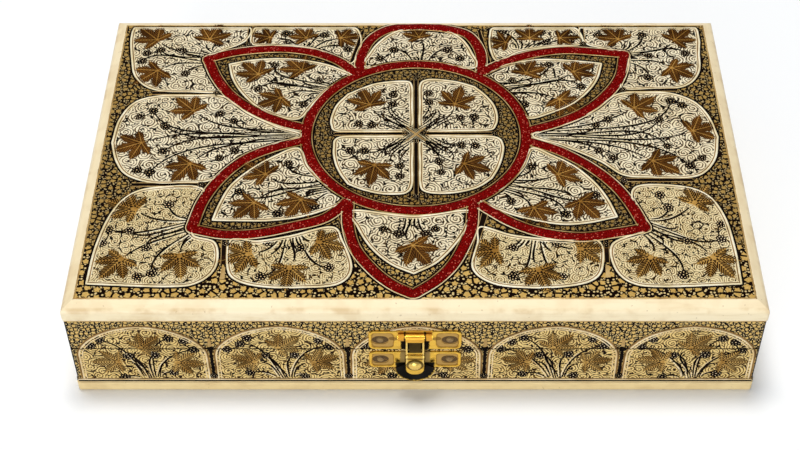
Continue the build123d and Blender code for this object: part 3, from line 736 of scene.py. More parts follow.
for name, outline in grounds.items():
    bind(outline, name, lift_of(name))
BARS = (  # width, lift, how much wider the far end is, then the ends of each bar
    (1.7, 0.12, 1.0, (((0.5, 14.5), (0.5, 49.5)), ((0.5, 6.5), (0.5, -29.5)), ((-4, 11.0), (-38, 10.8)),
                      ((5, 11.1), (36, 11.1)))),
    (1.9, 0.06, 1.0, (((-126, 39.4), (-96, 39.4)), ((-128, -22.6), (-98, -22.6)), ((-82.3, 89), (-82.3, 76)),
                      ((-82.6, -71), (-83.4, -57)), ((126, 41.7), (101, 41.7)), ((126, -19.6), (96, -19.6)),
                      ((82.9, -70), (83.6, -57)), ((83.2, 89), (83.2, 77)))),
    (1.4, 0.06, 1.8, (((-26, 86), (-31, 60)), ((32, 86), (36, 60)), ((-25, -70), (-33, -41)),
                      ((24, -70), (31, -41)))),
)
for width, lift, taper, ends in BARS:
    for start, end in ends:
        bar(start, end, width, lift, taper)
corners = np.array([(-144.2, -90.2), (144.2, -90.2), (144.2, 90.2), (-144.2, 90.2)])
sides = [np.linspace(corners[i], corners[(i + 1) % 4], 60, endpoint=False) for i in range(4)]
gilt.strip(np.concatenate(sides), 0.7, 0.2, 0.0, closed=True)
for across, up in ((-82.3, -72.5), (82.8, -71.5)):
    foot = np.array([(across, up), (across - 0.1, up - 3.5), (across - 0.2, up - 7)])
    gilt.strip(foot, [1.5, 1.8, 2.2], 0.14, 0.0, section="flat")
black.strip(MIDDLE + (ring - MIDDLE) * 0.94, 0.8, 0.08, 0.1, closed=True)
for relief, colour, finish in ((pale, "pale", pale_line), (gilt, "gilt", gilt_line),
                               (black, "black", black_line), (brown, "brown", brown_line)):
    relief.lay(f"lid_{colour}_lines", "top", "lid", finish)


# ==== Stems, black flowers and chinar leaves ====
# From each root black stems fan out to the leaves and flowers, drawn with a fine brush, with
# off-white lines between them. The five-lobed chinar leaves are brown gold, veined and hatched.

hand_of = np.random.default_rng(7)


def unit(vector):
    return vector / (np.linalg.norm(vector) + 1e-9)


def turned(vector, angle):
    c, s = math.cos(angle), math.sin(angle)
    return np.array([c * vector[0] - s * vector[1], s * vector[0] + c * vector[1]])


def stem_path(start, target, leave, arrive):
    """A curve that leaves its start one way and comes in to its target another."""
    reach = np.linalg.norm(target - start)
    near, far = start + leave * reach * 0.42, target - arrive * reach * 0.34
    t = np.linspace(0, 1, max(6, int(reach / 1.2)))[:, None]
    return start * (1 - t) ** 3 + near * 3 * t * (1 - t) ** 2 + far * 3 * t**2 * (1 - t) + target * t**3


def black_flower(ink, eyes, middle, size, lift, eye=0.08):
    """A centre and seven petals that touch, with gilt eyes."""
    turn = hand_of.uniform(0, math.pi)
    ink.dome(middle, size * 0.5, 0.1, lift, 8, turn)
    eyes.dome(middle, size * 0.12, 0.06, lift + 0.1, 6)
    for petal in range(7):
        angle = turn + petal * math.pi * 2 / 7
        way = np.array([math.cos(angle), math.sin(angle)])
        ink.dome(middle + way * size * 0.66, size * hand_of.uniform(0.33, 0.4), 0.08, lift, 7, angle)
        eyes.dome(middle + way * size * 0.62, size * eye, 0.05, lift + 0.08, 5)


def twigs(ink, path, lift, shape, every=5.0):
    """Short side twigs with buds on the outer part of a stem."""
    side = normals(path, False)
    length = np.concatenate([[0], np.cumsum(np.linalg.norm(np.diff(path, axis=0), axis=1))])
    spot, turn = max(every, length[-1] * 0.45), int(hand_of.choice((-1, 1)))
    while spot < length[-1] - 1.5:
        i = min(int(np.searchsorted(length, spot)), len(path) - 2)
        ahead = unit(path[i + 1] - path[i - 1])
        tip = path[i] + ahead * hand_of.uniform(1.0, 2.0) + side[i] * turn * hand_of.uniform(1.2, 2.2)
        if contains(shape, tip)[0]:
            twig = stem_path(path[i], tip, ahead, unit(side[i] * turn + ahead * 0.3))
            ink.strip(twig, np.linspace(0.45, 0.3, len(twig)), 0.05, lift, section="flat")
            ink.dome(tip, hand_of.uniform(0.42, 0.65), 0.08, lift, 6)
        spot += every * hand_of.uniform(0.7, 1.3)
        turn = -turn


# The leaf's lobes: direction in degrees, length, half width in degrees. Then half of a lobe's
# toothed edge, from its tip: the share of the half width and the share of the length.
LOBES = ((0, 1.1, 22), (47, 0.92, 22), (-47, 0.92, 22), (97, 0.66, 24), (-97, 0.66, 24))
TEETH = ((0, 1.06), (0.14, 0.89), (0.2, 0.96), (0.44, 0.77), (0.52, 0.88), (0.74, 0.62), (0.84, 0.72),
         (1.0, 0.47))


def leaf_outline():
    """A chinar leaf pointing up the second axis from its middle, about one unit across."""
    spots = [(180, 0.1)]
    for direction, reach, half in sorted(LOBES):
        for share, height in [(-share, height) for share, height in TEETH[:0:-1]] + list(TEETH):
            spots.append((direction + share * half, reach * height))
    spots.append((150, 0.15))
    spots.insert(1, (-150, 0.15))
    angle, reach = np.radians([a for a, _ in spots]), np.array([r for _, r in spots]) * 0.62
    return np.stack([np.sin(angle) * reach, np.cos(angle) * reach], 1)


LEAF = leaf_outline()


def reach_to_edge(start, way):
    """How far a line from start runs before it leaves the unit leaf."""
    ends = np.roll(LEAF, -1, 0) - LEAF
    cross = way[0] * ends[:, 1] - way[1] * ends[:, 0]
    off = LEAF - start
    with np.errstate(divide="ignore", invalid="ignore"):
        run = (off[:, 0] * ends[:, 1] - off[:, 1] * ends[:, 0]) / cross
        along = (off[:, 0] * way[1] - off[:, 1] * way[0]) / cross
    good = (run > 1e-6) & (along >= 0) & (along <= 1)
    return run[good].min() if good.any() else 0.0


def leaf_lines():
    """Veins along the lobes, and slanted hatching on both sides of each vein, on the unit leaf."""
    veins, hatches = [], []
    middle = np.zeros(2)
    for direction, _, _ in LOBES:
        way = turned(np.array([0.0, 1.0]), -math.radians(direction))
        length = reach_to_edge(middle, way) * 0.96
        veins.append((middle, way * length))
        for share in np.arange(0.1, 0.97, 0.066 / length):
            for side in (-1, 1):
                across = turned(way, side * math.radians(40))
                spot = way * length * share
                run = min(reach_to_edge(spot, across) * 1.1, 0.3, share * length * 1.5)
                if run > 0.02:
                    hatches.append((spot + across * 0.02, spot + across * run))
    veins.append((middle, np.array([0.0, -0.16])))
    return veins, hatches


LEAF_VEINS, LEAF_HATCHES = leaf_lines()


def chinar_leaf(gold, vein, hatch, middle, direction, size, lift, bold=1.0):
    """One leaf whose middle lies at a place and whose tip points along direction."""
    direction = unit(np.asarray(direction, float))
    turn = np.array([[direction[1], direction[0]], [-direction[0], direction[1]]])

    def put(points):
        return np.atleast_2d(points) @ turn.T * size + middle

    n = len(LEAF)
    edge, inner = put(LEAF), put(LEAF * 0.9)
    points = np.concatenate([np.column_stack([edge, np.full(n, lift)]),
                             np.column_stack([inner, np.full(n, lift + 0.16)]), [[*middle, lift + 0.17]]])
    faces = [[i, (i + 1) % n, (i + 1) % n + n, i + n] for i in range(n)]
    faces += [[i + n, (i + 1) % n + n, 2 * n] for i in range(n)]
    gold.take(points, faces)
    for start, end in LEAF_VEINS:
        vein.strip(put([start, (start + end) / 2, end]), [0.4, 0.3, 0.15], 0.12, lift + 0.16, section="ridge")
    for start, end in LEAF_HATCHES:
        hatch.strip(put([start, end]), [0.44 * bold, 0.32 * bold], 0.08, lift + 0.145, section="flat")


HANG_WITHIN = 9.5  # a flower this near to another hangs on its stem
HEART = 9.0  # stems may cross the lines this near to the middle of the ring
CLEAR = 4.0  # stray buds keep this far from the leaves and flowers


def bouquet(reliefs, shape, root, leaves, berries, lift, leaf_size, spread, extra, bold, fine, foot,
            bunched=1.2, nod=0.5):
    """Everything that grows inside one cartouche.

    spread is the gap between stems at the root in millimetres and extra the number of stems that
    bear nothing. bold widens the hatching and the flowers' eyes, fine the stems, and foot is a
    stem's width at the root. bunched stems set off together, and nod bends the leaves outward."""
    ink, eyes, gold, vein, hatch, streak = reliefs
    root = np.array(root, float)
    axis = unit(shape.mean(0) - root)
    across = turned(axis, math.pi / 2)
    goals, hung = [(np.array(leaf, float), "leaf") for leaf in leaves], []
    berries = [np.array(berry, float) for berry in berries]
    for berry in sorted(berries, key=lambda spot: np.linalg.norm(spot - root)):
        fellows = [goal for goal, kind in goals
                   if kind == "berry" and np.linalg.norm(goal - berry) < HANG_WITHIN]
        if fellows:
            hung.append((berry, fellows[0]))
        else:
            goals.append((berry, "berry"))
    ways = [unit(goal - root) for goal, _ in goals]
    swings = [math.atan2(way @ across, way @ axis) for way in ways]
    low, high = (swing * 0.9 for swing in (min(swings), max(swings)))
    far = np.linalg.norm(shape.mean(0) - root)
    for i in range(extra):
        swing = low + (high - low) * (i + hand_of.uniform(0.3, 0.7)) / extra
        goals.append((root + turned(axis, swing) * far * hand_of.uniform(0.5, 0.95), "tip"))
        swings.append(swing)
    order = np.argsort(swings)
    rank = {int(goal): number for number, goal in enumerate(order)}
    for i, (goal, kind) in enumerate(goals):
        start = root + across * (rank[i] - (len(goals) - 1) / 2) * spread
        way = unit(goal - start)
        leave = unit(axis * bunched + way)
        bend = math.copysign(hand_of.uniform(0.5, 1.2), swings[i]) * (nod if kind == "leaf" else 1.0)
        arrive = turned(way, bend)
        end = goal - arrive * leaf_size * 0.2 if kind == "leaf" else goal
        path = stem_path(start, end, leave, arrive)
        inside = contains(shape, path) | (np.linalg.norm(path - MIDDLE, axis=1) < HEART)
        for stretch in runs(path, inside):
            wide = np.interp(np.linspace(0, 1, len(stretch)), (0, 0.25, 0.55, 1),
                             (foot, 0.5 + foot / 2, 1.15, 0.66))
            ink.strip(stretch, wide * fine, 0.07, lift, section="flat")
            head = stretch[: max(4, int(len(stretch) * 0.6))]
            streak.strip(head + normals(head, False) * np.linspace(0.85, 0.7, len(head))[:, None],
                         np.linspace(0.6, 0.25, len(head)), 0.045, lift, section="flat")
        if kind == "leaf":
            arrive = turned(arrive, hand_of.normal(0, 0.12))
            size = leaf_size * hand_of.uniform(0.94, 1.06)
            chinar_leaf(gold, vein, hatch, goal, arrive, size, lift, bold)
        else:
            twigs(ink, path, lift, shape)
            if kind == "berry":
                black_flower(ink, eyes, goal, hand_of.uniform(2.3, 2.7), lift, 0.078 * bold)
            else:
                ink.dome(goal, 0.55, 0.18, lift, 6)
    for goal, fellow in hung:
        way = unit(goal - fellow)
        stalk = stem_path(fellow, goal, turned(way, 0.5), turned(way, -0.5))
        ink.strip(stalk, 0.6, 0.06, lift, section="flat")
        black_flower(ink, eyes, goal, hand_of.uniform(2.2, 2.6), lift, 0.078 * bold)
    # Small stray buds fill what is left.
    taken = np.array([goal for goal, _ in goals + hung])
    within = shape * 0.94 + shape.mean(0) * 0.06
    for _ in range(int(len(shape) * 0.28)):
        spot = hand_of.uniform(shape.min(0), shape.max(0))
        if contains(within, spot)[0] and np.linalg.norm(taken - spot, axis=1).min() > CLEAR:
            way = turned(np.array([1.0, 0.0]), hand_of.uniform(0, 2 * math.pi))
            tip = spot + way * hand_of.uniform(0.9, 2.0)
            dash = stem_path(spot, tip, turned(way, 0.6), turned(way, -0.6))
            ink.strip(dash, np.linspace(0.55, 0.3, len(dash)), 0.05, lift, section="flat")
            ink.dome(spot, hand_of.uniform(0.4, 0.65), 0.08, lift, 6)


leaf_gold = line_finish("leaf_brown_gold", (80, 47, 12), (132, 86, 30), 0.5, grain=1.2, gloss=0.06)
pale_leaf = line_finish("leaf_pale_gold", (146, 104, 42), (204, 162, 86), 0.5, grain=1.2, gloss=0.06)
leaf_vein = line_finish("leaf_veins", (150, 106, 40), (200, 156, 80), 0.45, gloss=0.06)
leaf_hatch = line_finish("leaf_hatching", (24, 10, 2), (54, 28, 8), 0.5, gloss=0.03)
LAYERS = (("black_lines", black_line), ("pale_gold_lines", pale_gold_line), ("brown_leaves", leaf_gold),
          ("leaf_veins", leaf_vein), ("leaf_hatching", leaf_hatch), ("pale_lines", pale_line))
BAR_ENDS = ((-95, 39.4), (-97, -22.6), (-82.3, 75), (-82.6, -59), (100, 41.7), (95, -19.6), (83.2, -59),
            (83.2, 76), (0.5, 50), (0.5, -30), (-39, 11.2), (37, 11.2), (-4.7, 11.3), (4.2, 11.4), (0.7, 5.9))

growth, pale = [Relief() for _ in LAYERS], Relief()
for name, root, outline, leaves, berries in CARTOUCHES:
    front = "front" in name
    bouquet([*growth[:2], pale if front else growth[2], *growth[3:]], grounds[name], root, leaves, berries,
            lift_of(name) + 0.01,
            leaf_size=16.5 if "back_mid" in name or name == "petal_5" else 20.5,
            spread=by_kind(name, 1.2, quarter=0.7, left=0.62, right=0.62),
            extra=by_kind(name, 2, quarter=6, left=0, right=0),
            bold=1.6 if front else 1.0,
            fine=by_kind(name, 1.0, quarter=0.7),
            foot=by_kind(name, 0.55, quarter=0.3, left=0.35, right=0.35),
            bunched=by_kind(name, 1.2, quarter=0.2))
for spot in BAR_ENDS:
    black_flower(growth[0], growth[1], np.array(spot), 1.9, 0.32)
for relief, (layer, finish) in zip(growth, LAYERS):
    relief.lay(f"lid_{layer}", "top", "lid", finish)
pale.lay("lid_pale_leaves", "top", "lid", pale_leaf)


# ==== Red lines ====
# The ring and the six petals are thick lines of red paint, stippled while wet and strewn with
# glitter, with a gilt line down each side. The pits are painted darker as painted shade, and the
# glitter's sparkle is painted as pale specks, painted glints.

made, tree, surface = material("red_glitter")
at = place(tree)
cells = voronoi(tree, stretched(tree, at, *[1.5] * 3), 1.0)
pits = step(tree, cells.outputs["Distance"], 0.25, 0.6)
smooth_parts = calc(tree, "SUBTRACT", 1.0, pits)
chance = parts(tree, cells.outputs["Color"], "Color")
red = mix(tree, noise(tree, at, 0.12, 3.0), srgb(118, 1, 0), srgb(164, 8, 3))
# The stippled pits are painted darker red: painted shade in them.
red = mix(tree, calc(tree, "MULTIPLY", pits, 0.75), red, srgb(70, 0, 0))
# Pale specks on the smooth parts are painted glints, standing for the glitter's sparkle.
painted_glints = calc(tree, "MULTIPLY", calc(tree, "GREATER_THAN", chance[0], 0.9), smooth_parts)
red = mix(tree, calc(tree, "MULTIPLY", painted_glints, 0.8), red, srgb(236, 110, 90))
rough = add(tree, "MapRange", chance[1], 0.0, 1.0, 0.22, 0.5)
finish_with(tree, surface, Base_Color=red, Roughness=rough, Specular_IOR_Level=0.04,
            Normal=bump(tree, smooth_parts, 0.00025))
red_paint = made

RED_WIDTH, MARGIN_WIDTH, EDGING_AWAY = 4.7, 7.6, 2.75
cord, edging, margin, rim = (Relief() for _ in range(4))
for number, path in enumerate([ring, *petals]):
    closed = number == 0
    fine = smooth([tuple(p) for p in path[::2]], closed, 0.5)
    wobble = 0.25 * np.sin(np.arange(len(fine)) * 0.13 + number)
    cord.strip(fine, RED_WIDTH + wobble, 0.85 if closed else 0.8, 0.1, closed)
    for side in (-1, 1):
        line = fine + normals(fine, closed) * side * EDGING_AWAY
        outside = number > 0 and contains(red_shapes[number], line).mean() <= 0.5
        (rim if outside else edging).strip(line, 0.5 if outside else 0.45, 0.32, 0.15, closed)
    margin.strip(fine, MARGIN_WIDTH, 0.03, 0.17, closed, section="flat")
cord.lay("red_lines", "top", "lid", red_paint)
edging.lay("lid_gilt_lines", "top", "lid", gilt_line)
rim.lay("lid_pale_gold_lines", "top", "lid", pale_gold_line)
margin.lay("lid_black_lines", "top", "lid", black_line)

# A small gilt cross stands where the quarters meet.
boss = Relief()
for turn in range(4):
    way = turned(np.array([1.0, 0.0]), (turn + 0.5) * math.pi / 2)
    boss.strip(np.array([MIDDLE, MIDDLE + way * 3.2, MIDDLE + way * 6.4]), [1.2, 0.9, 0.4], 0.3, 0.18)
boss.dome(MIDDLE, 1.0, 0.5, 0.2, 12)
boss.lay("lid_gilt_lines", "top", "lid", gilt_line)


# ==== Arches on the walls ====
# The walls carry rows of round arches in the same manner, painted with the box shut, so that the
# seam cuts every arch. Each arch holds a plant with three leaves.

wall_leaf = line_finish("wall_leaf_gold", (166, 122, 56), (224, 186, 110), 0.5, grain=1.2, gloss=0.06)
wall_curls = curled_finish("curled_ground_walls", "walls", 0.9,
                           ((216, 180, 104), (248, 220, 150)), ((56, 32, 6), (120, 82, 28)), (34, 17, 3))
FOOT = 8.3  # height of the arches' feet
ARCH = [(-27.8, FOOT, 1), (-27.6, 19), (-27.3, 26), (-24.8, 31.2), (-19.5, 36.5), (-11, 41), (0, 43.2),
        (11, 41), (19.5, 36.5), (24.8, 31.2), (27.3, 26), (27.6, 19), (27.8, FOOT, 1)]
ARCH_LEAVES = ((-0.5, 29.5), (-11.0, 20.0), (14.5, 19.6))
ARCH_BERRIES = ((-17, 35), (-21.5, 30.5), (-7, 24), (6, 24.5), (13, 36), (18, 33), (22.5, 28.5), (-10, 10),
                (12.5, 11.6))
WALL_FINISHES = {"wall_curls": wall_curls, "pale_gold_lines": pale_gold_line, "gilt_lines": gilt_line,
                 "black_lines": black_line, "brown_lines": brown_line}
# On the walls the leaves are paler, and the streaks between the stems are pale gold.
WALL_LAYERS = {"brown_leaves": ("wall_leaves", wall_leaf), "pale_lines": ("pale_gold_lines", pale_gold_line)}


def post(reliefs, growth, u):
    """The black bar between two arches, with a gilt finial, two knots and a flower at its foot."""
    black, gilt = reliefs["black_lines"], reliefs["gilt_lines"]
    ink, eyes = growth[:2]
    black.strip(np.array([(u, FOOT), (u, 20.0), (u, 28.5)]), 1.4, 0.1, 0.03, section="flat")
    gilt.strip(np.array([(u, 30.5), (u, 33.0), (u, 36.0)]), [1.7, 1.5, 1.1], 0.2, 0.05)
    for ends, middle, width in ((29.3, 29.2, 1.5), (28.2, 28.3, 1.1)):
        knot = np.array([(u - 1.4, ends), (u, middle), (u + 1.4, ends)])
        ink.strip(knot, width, 0.16, 0.2, section="flat")
    black_flower(ink, eyes, np.array([u, 10.3]), 1.9, 0.3)


for side, length, count, pitch, shift in (("front", 300, 5, 59.5, 0.6), ("back", 300, 5, 59.5, 0.6),
                                          ("left", 192, 3, 61.0, 0.0), ("right", 192, 3, 61.0, 0.0)):
    reliefs = {layer: Relief() for layer in WALL_FINISHES}
    growth = [Relief() for _ in LAYERS]
    for number in range(count):
        centre = (number - (count - 1) / 2) * pitch + shift
        arch = smooth([(u + centre, v, *rest) for u, v, *rest in ARCH])
        reliefs["wall_curls"].slab(arch, 0.0, 0.06)
        line = smooth([(u + centre, v) for u, v, *_ in ARCH], closed=False)
        out = normals(line, False)
        reliefs["pale_gold_lines"].strip(line, 0.8, 0.28, 0.05)
        reliefs["pale_gold_lines"].strip(line - out * 1.3, 0.5, 0.2, 0.05)
        reliefs["brown_lines"].strip(line + out * 0.8, 0.8, 0.08, 0.05)
        for way in ((-1, 1) if number == 0 else (1,)):
            u = centre + way * pitch / 2
            if abs(u) < length / 2 - 3.0:
                post(reliefs, growth, u)
        flip = 1 if number % 2 == 0 else -1
        leaves = [(centre + u, v) for u, v in ARCH_LEAVES]
        berries = [(centre + flip * u + hand_of.normal(0, 0.5), v + hand_of.normal(0, 0.4))
                   for u, v in ARCH_BERRIES]
        bouquet(growth, arch, (centre + 2.7, FOOT + 0.4), leaves, berries, 0.07, leaf_size=18.0, spread=0.95,
                extra=0, bold=1.15, fine=0.85, foot=0.6, bunched=1.9, nod=0.9)
    half = length / 2 - 1.0
    for layer, height, width in (("pale_gold_lines", 7.4, 0.75), ("brown_lines", 8.0, 0.4),
                                 ("black_lines", 6.55, 0.9), ("gilt_lines", 47.3, 0.6)):
        level = np.array([(u, height) for u in np.linspace(-half, half, 60)])
        reliefs[layer].strip(level, width, 0.2, 0.02)
    laid = [(layer, relief, WALL_FINISHES[layer]) for layer, relief in reliefs.items()]
    for relief, (layer, finish) in zip(growth, LAYERS):
        layer, finish = WALL_LAYERS.get(layer, (layer, finish))
        laid.append((layer, relief, finish))
    for layer, relief, finish in laid:
        relief.lay(f"base_{layer}", side, "base", finish, "below")
        relief.lay(f"lid_{layer}", side, "lid", finish, "above")


# ==== Lining ====
# Deep red velvet glued over thin card, on the floor, under the lid and on every wall. The pile
# catches the light along its edges and is pressed flat in patches.

made, tree, surface = material("red_velvet")
at = place(tree)
pile = noise(tree, at, 3.0, 4.0)
pressed = step(tree, noise(tree, at, 0.03, 3.0), 0.35, 0.65)
shade = mix(tree, pressed, srgb(98, 9, 18), srgb(120, 14, 24))
shade = mix(tree, calc(tree, "MULTIPLY", step(tree, pile, 0.5, 0.7), 0.5), shade, srgb(58, 2, 8))
finish_with(tree, surface, Base_Color=shade, Roughness=0.9, Sheen_Weight=0.7, Sheen_Roughness=0.4,
            Sheen_Tint=srgb(220, 120, 120), Normal=bump(tree, pile, 0.0002))
velvet = made


def velvet_card(mesh, node):
    """Adds the lining over one card to the mesh: softly rounded edges and a finely divided face."""
    low, high = (np.array(corner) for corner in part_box(node))
    shape = bmesh.new()
    bmesh.ops.create_cube(shape, size=1.0)
    size, middle = high - low, (high + low) / 2
    for vert in shape.verts:
        vert.co = Vector(np.array(vert.co) * size + middle)
    bmesh.ops.bevel(shape, geom=shape.edges[:], offset=float(size.min()) * 0.4, segments=3, profile=0.6,
                    affect="EDGES")
    long_edges = [edge for edge in shape.edges if edge.calc_length() > 0.03]
    bmesh.ops.subdivide_edges(shape, edges=long_edges, cuts=24, use_grid_fill=True)
    shape.from_mesh(mesh)
    shape.to_mesh(mesh)
    shape.free()


for body in ("base", "lid"):
    mesh = bpy.data.meshes.new(f"{body}_velvet")
    cards = [node for node in frame["record"]["behaviour"]["bodies"][body] if "lining" in node]
    for node in cards:
        velvet_card(mesh, node)
    mesh.materials.append(velvet)
    for polygon in mesh.polygons:
        polygon.use_smooth = True
    piece = bpy.data.objects.new(f"{body}_velvet", mesh)
    bpy.context.scene.collection.objects.link(piece)
    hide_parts(*cards)
    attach(piece, body)


# ==== Hinges and latch ====
# Stamped brass, nailed on. It is bright on the faces, with fine rubbing marks, and dull brown in
# the dimples and round the nails. Light and shade are painted on too: painted shadow round the
# hasp, painted shade in its window, a near black painted dark reflection in the hollow of the
# base plate's lobe, and painted highlights and sheen on the barrel, the lugs and the dome.


def brass_finish(name, dull, wear_and_painted_light=()):
    """Brass. The places listed are worn brass or painted light and shade: shape, middle, half size,
    shade and strength.
    """
    made, tree, surface = material(name)
    at = place(tree)
    marks = noise(tree, stretched(tree, at, 0.35, 2.0, 2.6), 1.0, 5.0)
    patch = step(tree, noise(tree, at, 0.28, 4.0), 0.42, 0.7)
    bright = mix(tree, marks, srgb(214, 160, 48), srgb(246, 206, 92))
    colour = mix(tree, calc(tree, "MULTIPLY", patch, dull), bright, srgb(132, 84, 26))
    hollow = step(tree, add(tree, "NewGeometry", out=POINTINESS), 0.5, 0.44)
    colour = mix(tree, calc(tree, "MULTIPLY", hollow, 0.5), colour, srgb(84, 54, 20))
    rough = add(tree, "MapRange", marks, 0.3, 0.7, 0.12 + dull * 0.1, 0.26 + dull * 0.2)
    metal = 1.0
    across, _, up = parts(tree, at)[:3]
    for shape, middle, half, shade, amount in wear_and_painted_light:
        ways = (calc(tree, "SUBTRACT", calc(tree, "ABSOLUTE", across), middle[0]),
                calc(tree, "SUBTRACT", up, middle[1]))
        ways = [calc(tree, "DIVIDE", calc(tree, "ABSOLUTE", way), size) for way, size in zip(ways, half)]
        if shape == "box":
            powers = [calc(tree, "POWER", way, 5.0) for way in ways]
            reach = calc(tree, "POWER", calc(tree, "ADD", *powers), 0.2)
        else:
            reach = add(tree, "VectorMath", add(tree, "CombineXYZ", *ways, 0.0), operation="LENGTH", out=1)
        if shape == "ring":
            reach = calc(tree, "MULTIPLY", calc(tree, "ABSOLUTE", calc(tree, "SUBTRACT", reach, 1.0)), 7.0)
        uneven = calc(tree, "MULTIPLY_ADD", noise(tree, at, 0.9, 2.0), 0.16, reach)
        mask = calc(tree, "MULTIPLY", step(tree, uneven, 1.12, 1.02), amount)
        if shape == "bowl":
            mask = calc(tree, "MULTIPLY", mask, step(tree, up, middle[1] + 0.8, middle[1] + 0.2))
        colour = mix(tree, mask, colour, srgb(*shade))
        rough = calc(tree, "MULTIPLY_ADD", mask, 0.25, rough)
        metal = calc(tree, "MULTIPLY", metal, calc(tree, "MULTIPLY_ADD", mask, -0.9, 1.0))
    finish_with(tree, surface, Base_Color=colour, Roughness=rough, Metallic=metal, Specular_IOR_Level=0.08,
                Normal=bump(tree, marks, 0.00003))
    return made


def middle_and_half(node, shrink):
    """The middle of a node's box and half its size across and up, less a margin, in millimetres."""
    low, high = (np.array(corner)[[0, 2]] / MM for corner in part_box(node))
    return (low + high) / 2, (high - low) / 2 - shrink


RIM_WIDTH, FIELD_INSIDE, HEAD_RADIUS = 1.5, 9.4, 1.6
TARNISH, SHADOWED, FIELD, GROOVE = (76, 58, 40), (26, 17, 6), (196, 156, 86), (122, 80, 26)
EVERYWHERE = (0.0, RIM), (90.0, 40.0)
wear_and_painted_light = {}
for part in ("lid", "base"):
    _, half = middle_and_half(f"latch_{part}_plate", RIM_WIDTH)
    spot, spread = middle_and_half(f"latch_{part}_plate_nails", HEAD_RADIUS)
    wing = (FIELD_INSIDE + half[0]) / 2
    field = np.array([wing - FIELD_INSIDE, half[1] if part == "lid" else 3.8])
    wear_and_painted_light[part] = [("box", (wing, spot[1]), field + 0.4, GROOVE, 0.8),
                  ("box", (wing, spot[1]), field, FIELD, 0.75),
                  ("oval", (spread[0], spot[1]), (3.6, 2.5), TARNISH, 0.9)]
# On the lid plate: painted shadow behind the hasp and in the gaps between the lugs and the barrel, a painted
# highlight along the plate's top edge, painted orange sheen on the lugs and a darker brown oval beside each
# lug.
wear_and_painted_light["lid"] += [("box", (0.0, 33.4), (6.3, 4.2), SHADOWED, 0.95),
                ("box", (0.0, 41.2), (7.6, 1.2), (244, 190, 70), 0.9),
                ("box", (5.8, 39.6), (1.6, 1.7), (206, 136, 40), 0.7),
                ("oval", (9.4, 36.4), (2.0, 1.2), (110, 78, 32), 0.7),
                ("box", (4.3, 39.4), (0.5, 1.8), SHADOWED, 0.9)]
# On the base plate: painted shade of the hasp beside it, painted shadow in the narrow gaps by the hasp, and
# the hollow of the lobe painted near black as a painted dark reflection.
wear_and_painted_light["base"] += [("box", (0.0, spot[1] + 1.5), (6.6, 5.2), (136, 112, 68), 0.85),
                 ("box", (0.0, spot[1]), (4.4, 6.0), SHADOWED, 0.95),
                 ("bowl", (0.0, RIM - 8.9), (8.65, 8.65), (14, 9, 3), 1.0)]
# On the hasp: painted orange sheen on the barrel, painted highlights down the strap's sides, the rib painted
# duller as painted shade, painted shade lines above and below the rib, a painted dark ring round the dome and
# a painted highlight on it.
wear_and_painted_light["hasp"] = [("box", (0.0, 39.6), (4.4, 2.0), (226, 156, 44), 0.55),
                ("box", (3.5, 29.5), (0.4, 8.0), (255, 226, 140), 0.5),
                ("box", (0.0, 28.1), (3.4, 1.1), (176, 136, 56), 0.6),
                ("box", (0.0, 29.6), (3.6, 0.3), (66, 44, 10), 0.8),
                ("box", (0.0, 26.4), (3.6, 0.35), (46, 28, 6), 0.9),
                ("ring", (0.0, 22.2), (3.3, 3.3), (48, 28, 6), 0.8),
                ("oval", (0.0, 22.6), (2.9, 2.7), (255, 232, 150), 0.3)]
finishes = {"latch_lid_plate": brass_finish("brass_lid_plate", 0.3, wear_and_painted_light["lid"]),
            "latch_base_plate": brass_finish("brass_base_plate", 0.3, wear_and_painted_light["base"]),
            "latch_hasp": brass_finish("brass_hasp", 0.25, wear_and_painted_light["hasp"]),
            # The catch is painted near black all over, as painted shade inside the hasp's window.
            "latch_catch": brass_finish("brass_catch", 1.0, [("box", *EVERYWHERE, (40, 28, 8), 0.95)]),
            "nails": brass_finish("brass_nails", 0.8, [("box", *EVERYWHERE, (118, 102, 84), 0.75)]),
            "rest": brass_finish("brass", 0.25)}
for name in nodes:
    if name.startswith(("hinge", "latch")):
        paint_node(name, finishes.get(name, finishes["nails" if "nails" in name else "rest"]))

# A black slab on the wall behind the hasp is painted shadow, standing for the shade that the
# hasp and the plates cast there.
painted_shadow_behind_hasp = Relief()
corners = [(-5.7, 29.0, 1), (5.7, 29.0, 1), (5.7, 37.4, 1), (-5.7, 37.4, 1)]
painted_shadow_behind_hasp.slab(smooth(corners, spacing=2.0), 0.0, 0.45)
painted_shadow_behind_hasp.lay("lid_black_lines", "front", "lid", black_line)


# ==== Floor, light and camera ====
# A plain white sweep under soft studio light, seen from in front and above.

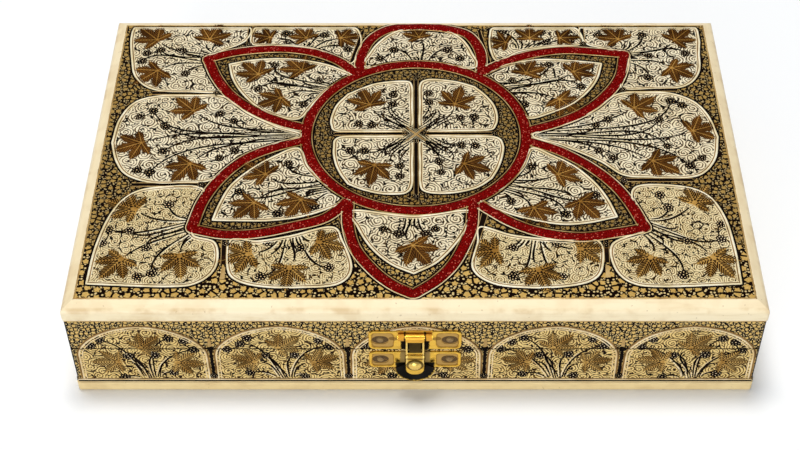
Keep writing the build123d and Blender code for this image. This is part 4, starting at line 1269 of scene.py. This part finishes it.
made, tree, surface = material("pale_floor")
pale = mix(tree, noise(tree, place(tree), 0.01, 2.0), srgb(250, 252, 255), srgb(252, 254, 255))
glow = calc(tree, "MULTIPLY", add(tree, "LightPath", out=0), 0.06)  # for the camera's own rays alone
finish_with(tree, surface, Base_Color=pale, Roughness=0.9, Specular_IOR_Level=0.1,
            Emission_Color=srgb(255, 255, 255), Emission_Strength=glow)
sheet = bmesh.new()
bmesh.ops.create_grid(sheet, x_segments=8, y_segments=8, size=2.5)
mesh = bpy.data.meshes.new("floor")
sheet.to_mesh(mesh)
sheet.free()
mesh.materials.append(made)
floor = bpy.data.objects.new("floor", mesh)
floor.location = (0, 0, -0.0002)
bpy.context.scene.collection.objects.link(floor)

world = bpy.data.worlds.new("studio")
bpy.context.scene.world = world
world.use_nodes = True
tree = world.node_tree
background = tree.nodes["Background"]
background.inputs[0].default_value = srgb(240, 247, 255)
white = calc(tree, "MULTIPLY_ADD", add(tree, "LightPath", out=0), 0.82, 0.2)
tree.links.new(white, background.inputs[1])


def softbox(name, spot, size, power, colour, target=(0, 0, 0.02)):
    """A rectangular lamp that stands at the spot and faces the target."""
    light = bpy.data.lights.new(name, "AREA")
    light.color = srgb(*colour)[:3]
    light.shape = "RECTANGLE"
    light.size, light.size_y = size
    light.energy = power
    lamp = bpy.data.objects.new(name, light)
    lamp.location = spot
    lamp.rotation_euler = (Vector(target) - Vector(spot)).to_track_quat("-Z", "Y").to_euler()
    bpy.context.scene.collection.objects.link(lamp)


softbox("overhead", (-0.15, 0.22, 2.6), (0.9, 0.7), 53.0, (255, 253, 250))
softbox("front", (-0.5, -2.4, 0.45), (1.4, 0.7), 28.0, (244, 248, 255))

LOOKING_DOWN = 46.53  # degrees
camera = bpy.data.cameras.new("camera")
camera.lens, camera.sensor_width, camera.shift_x = 70.48, 36.0, -0.01875
view = bpy.data.objects.new("camera", camera)
view.location = (0, -0.52307, 0.55763)
view.rotation_euler = (math.radians(90 - LOOKING_DOWN), 0, 0)
bpy.context.scene.collection.objects.link(view)
bpy.context.scene.camera = view
bpy.context.scene.view_settings.view_transform = "Standard"
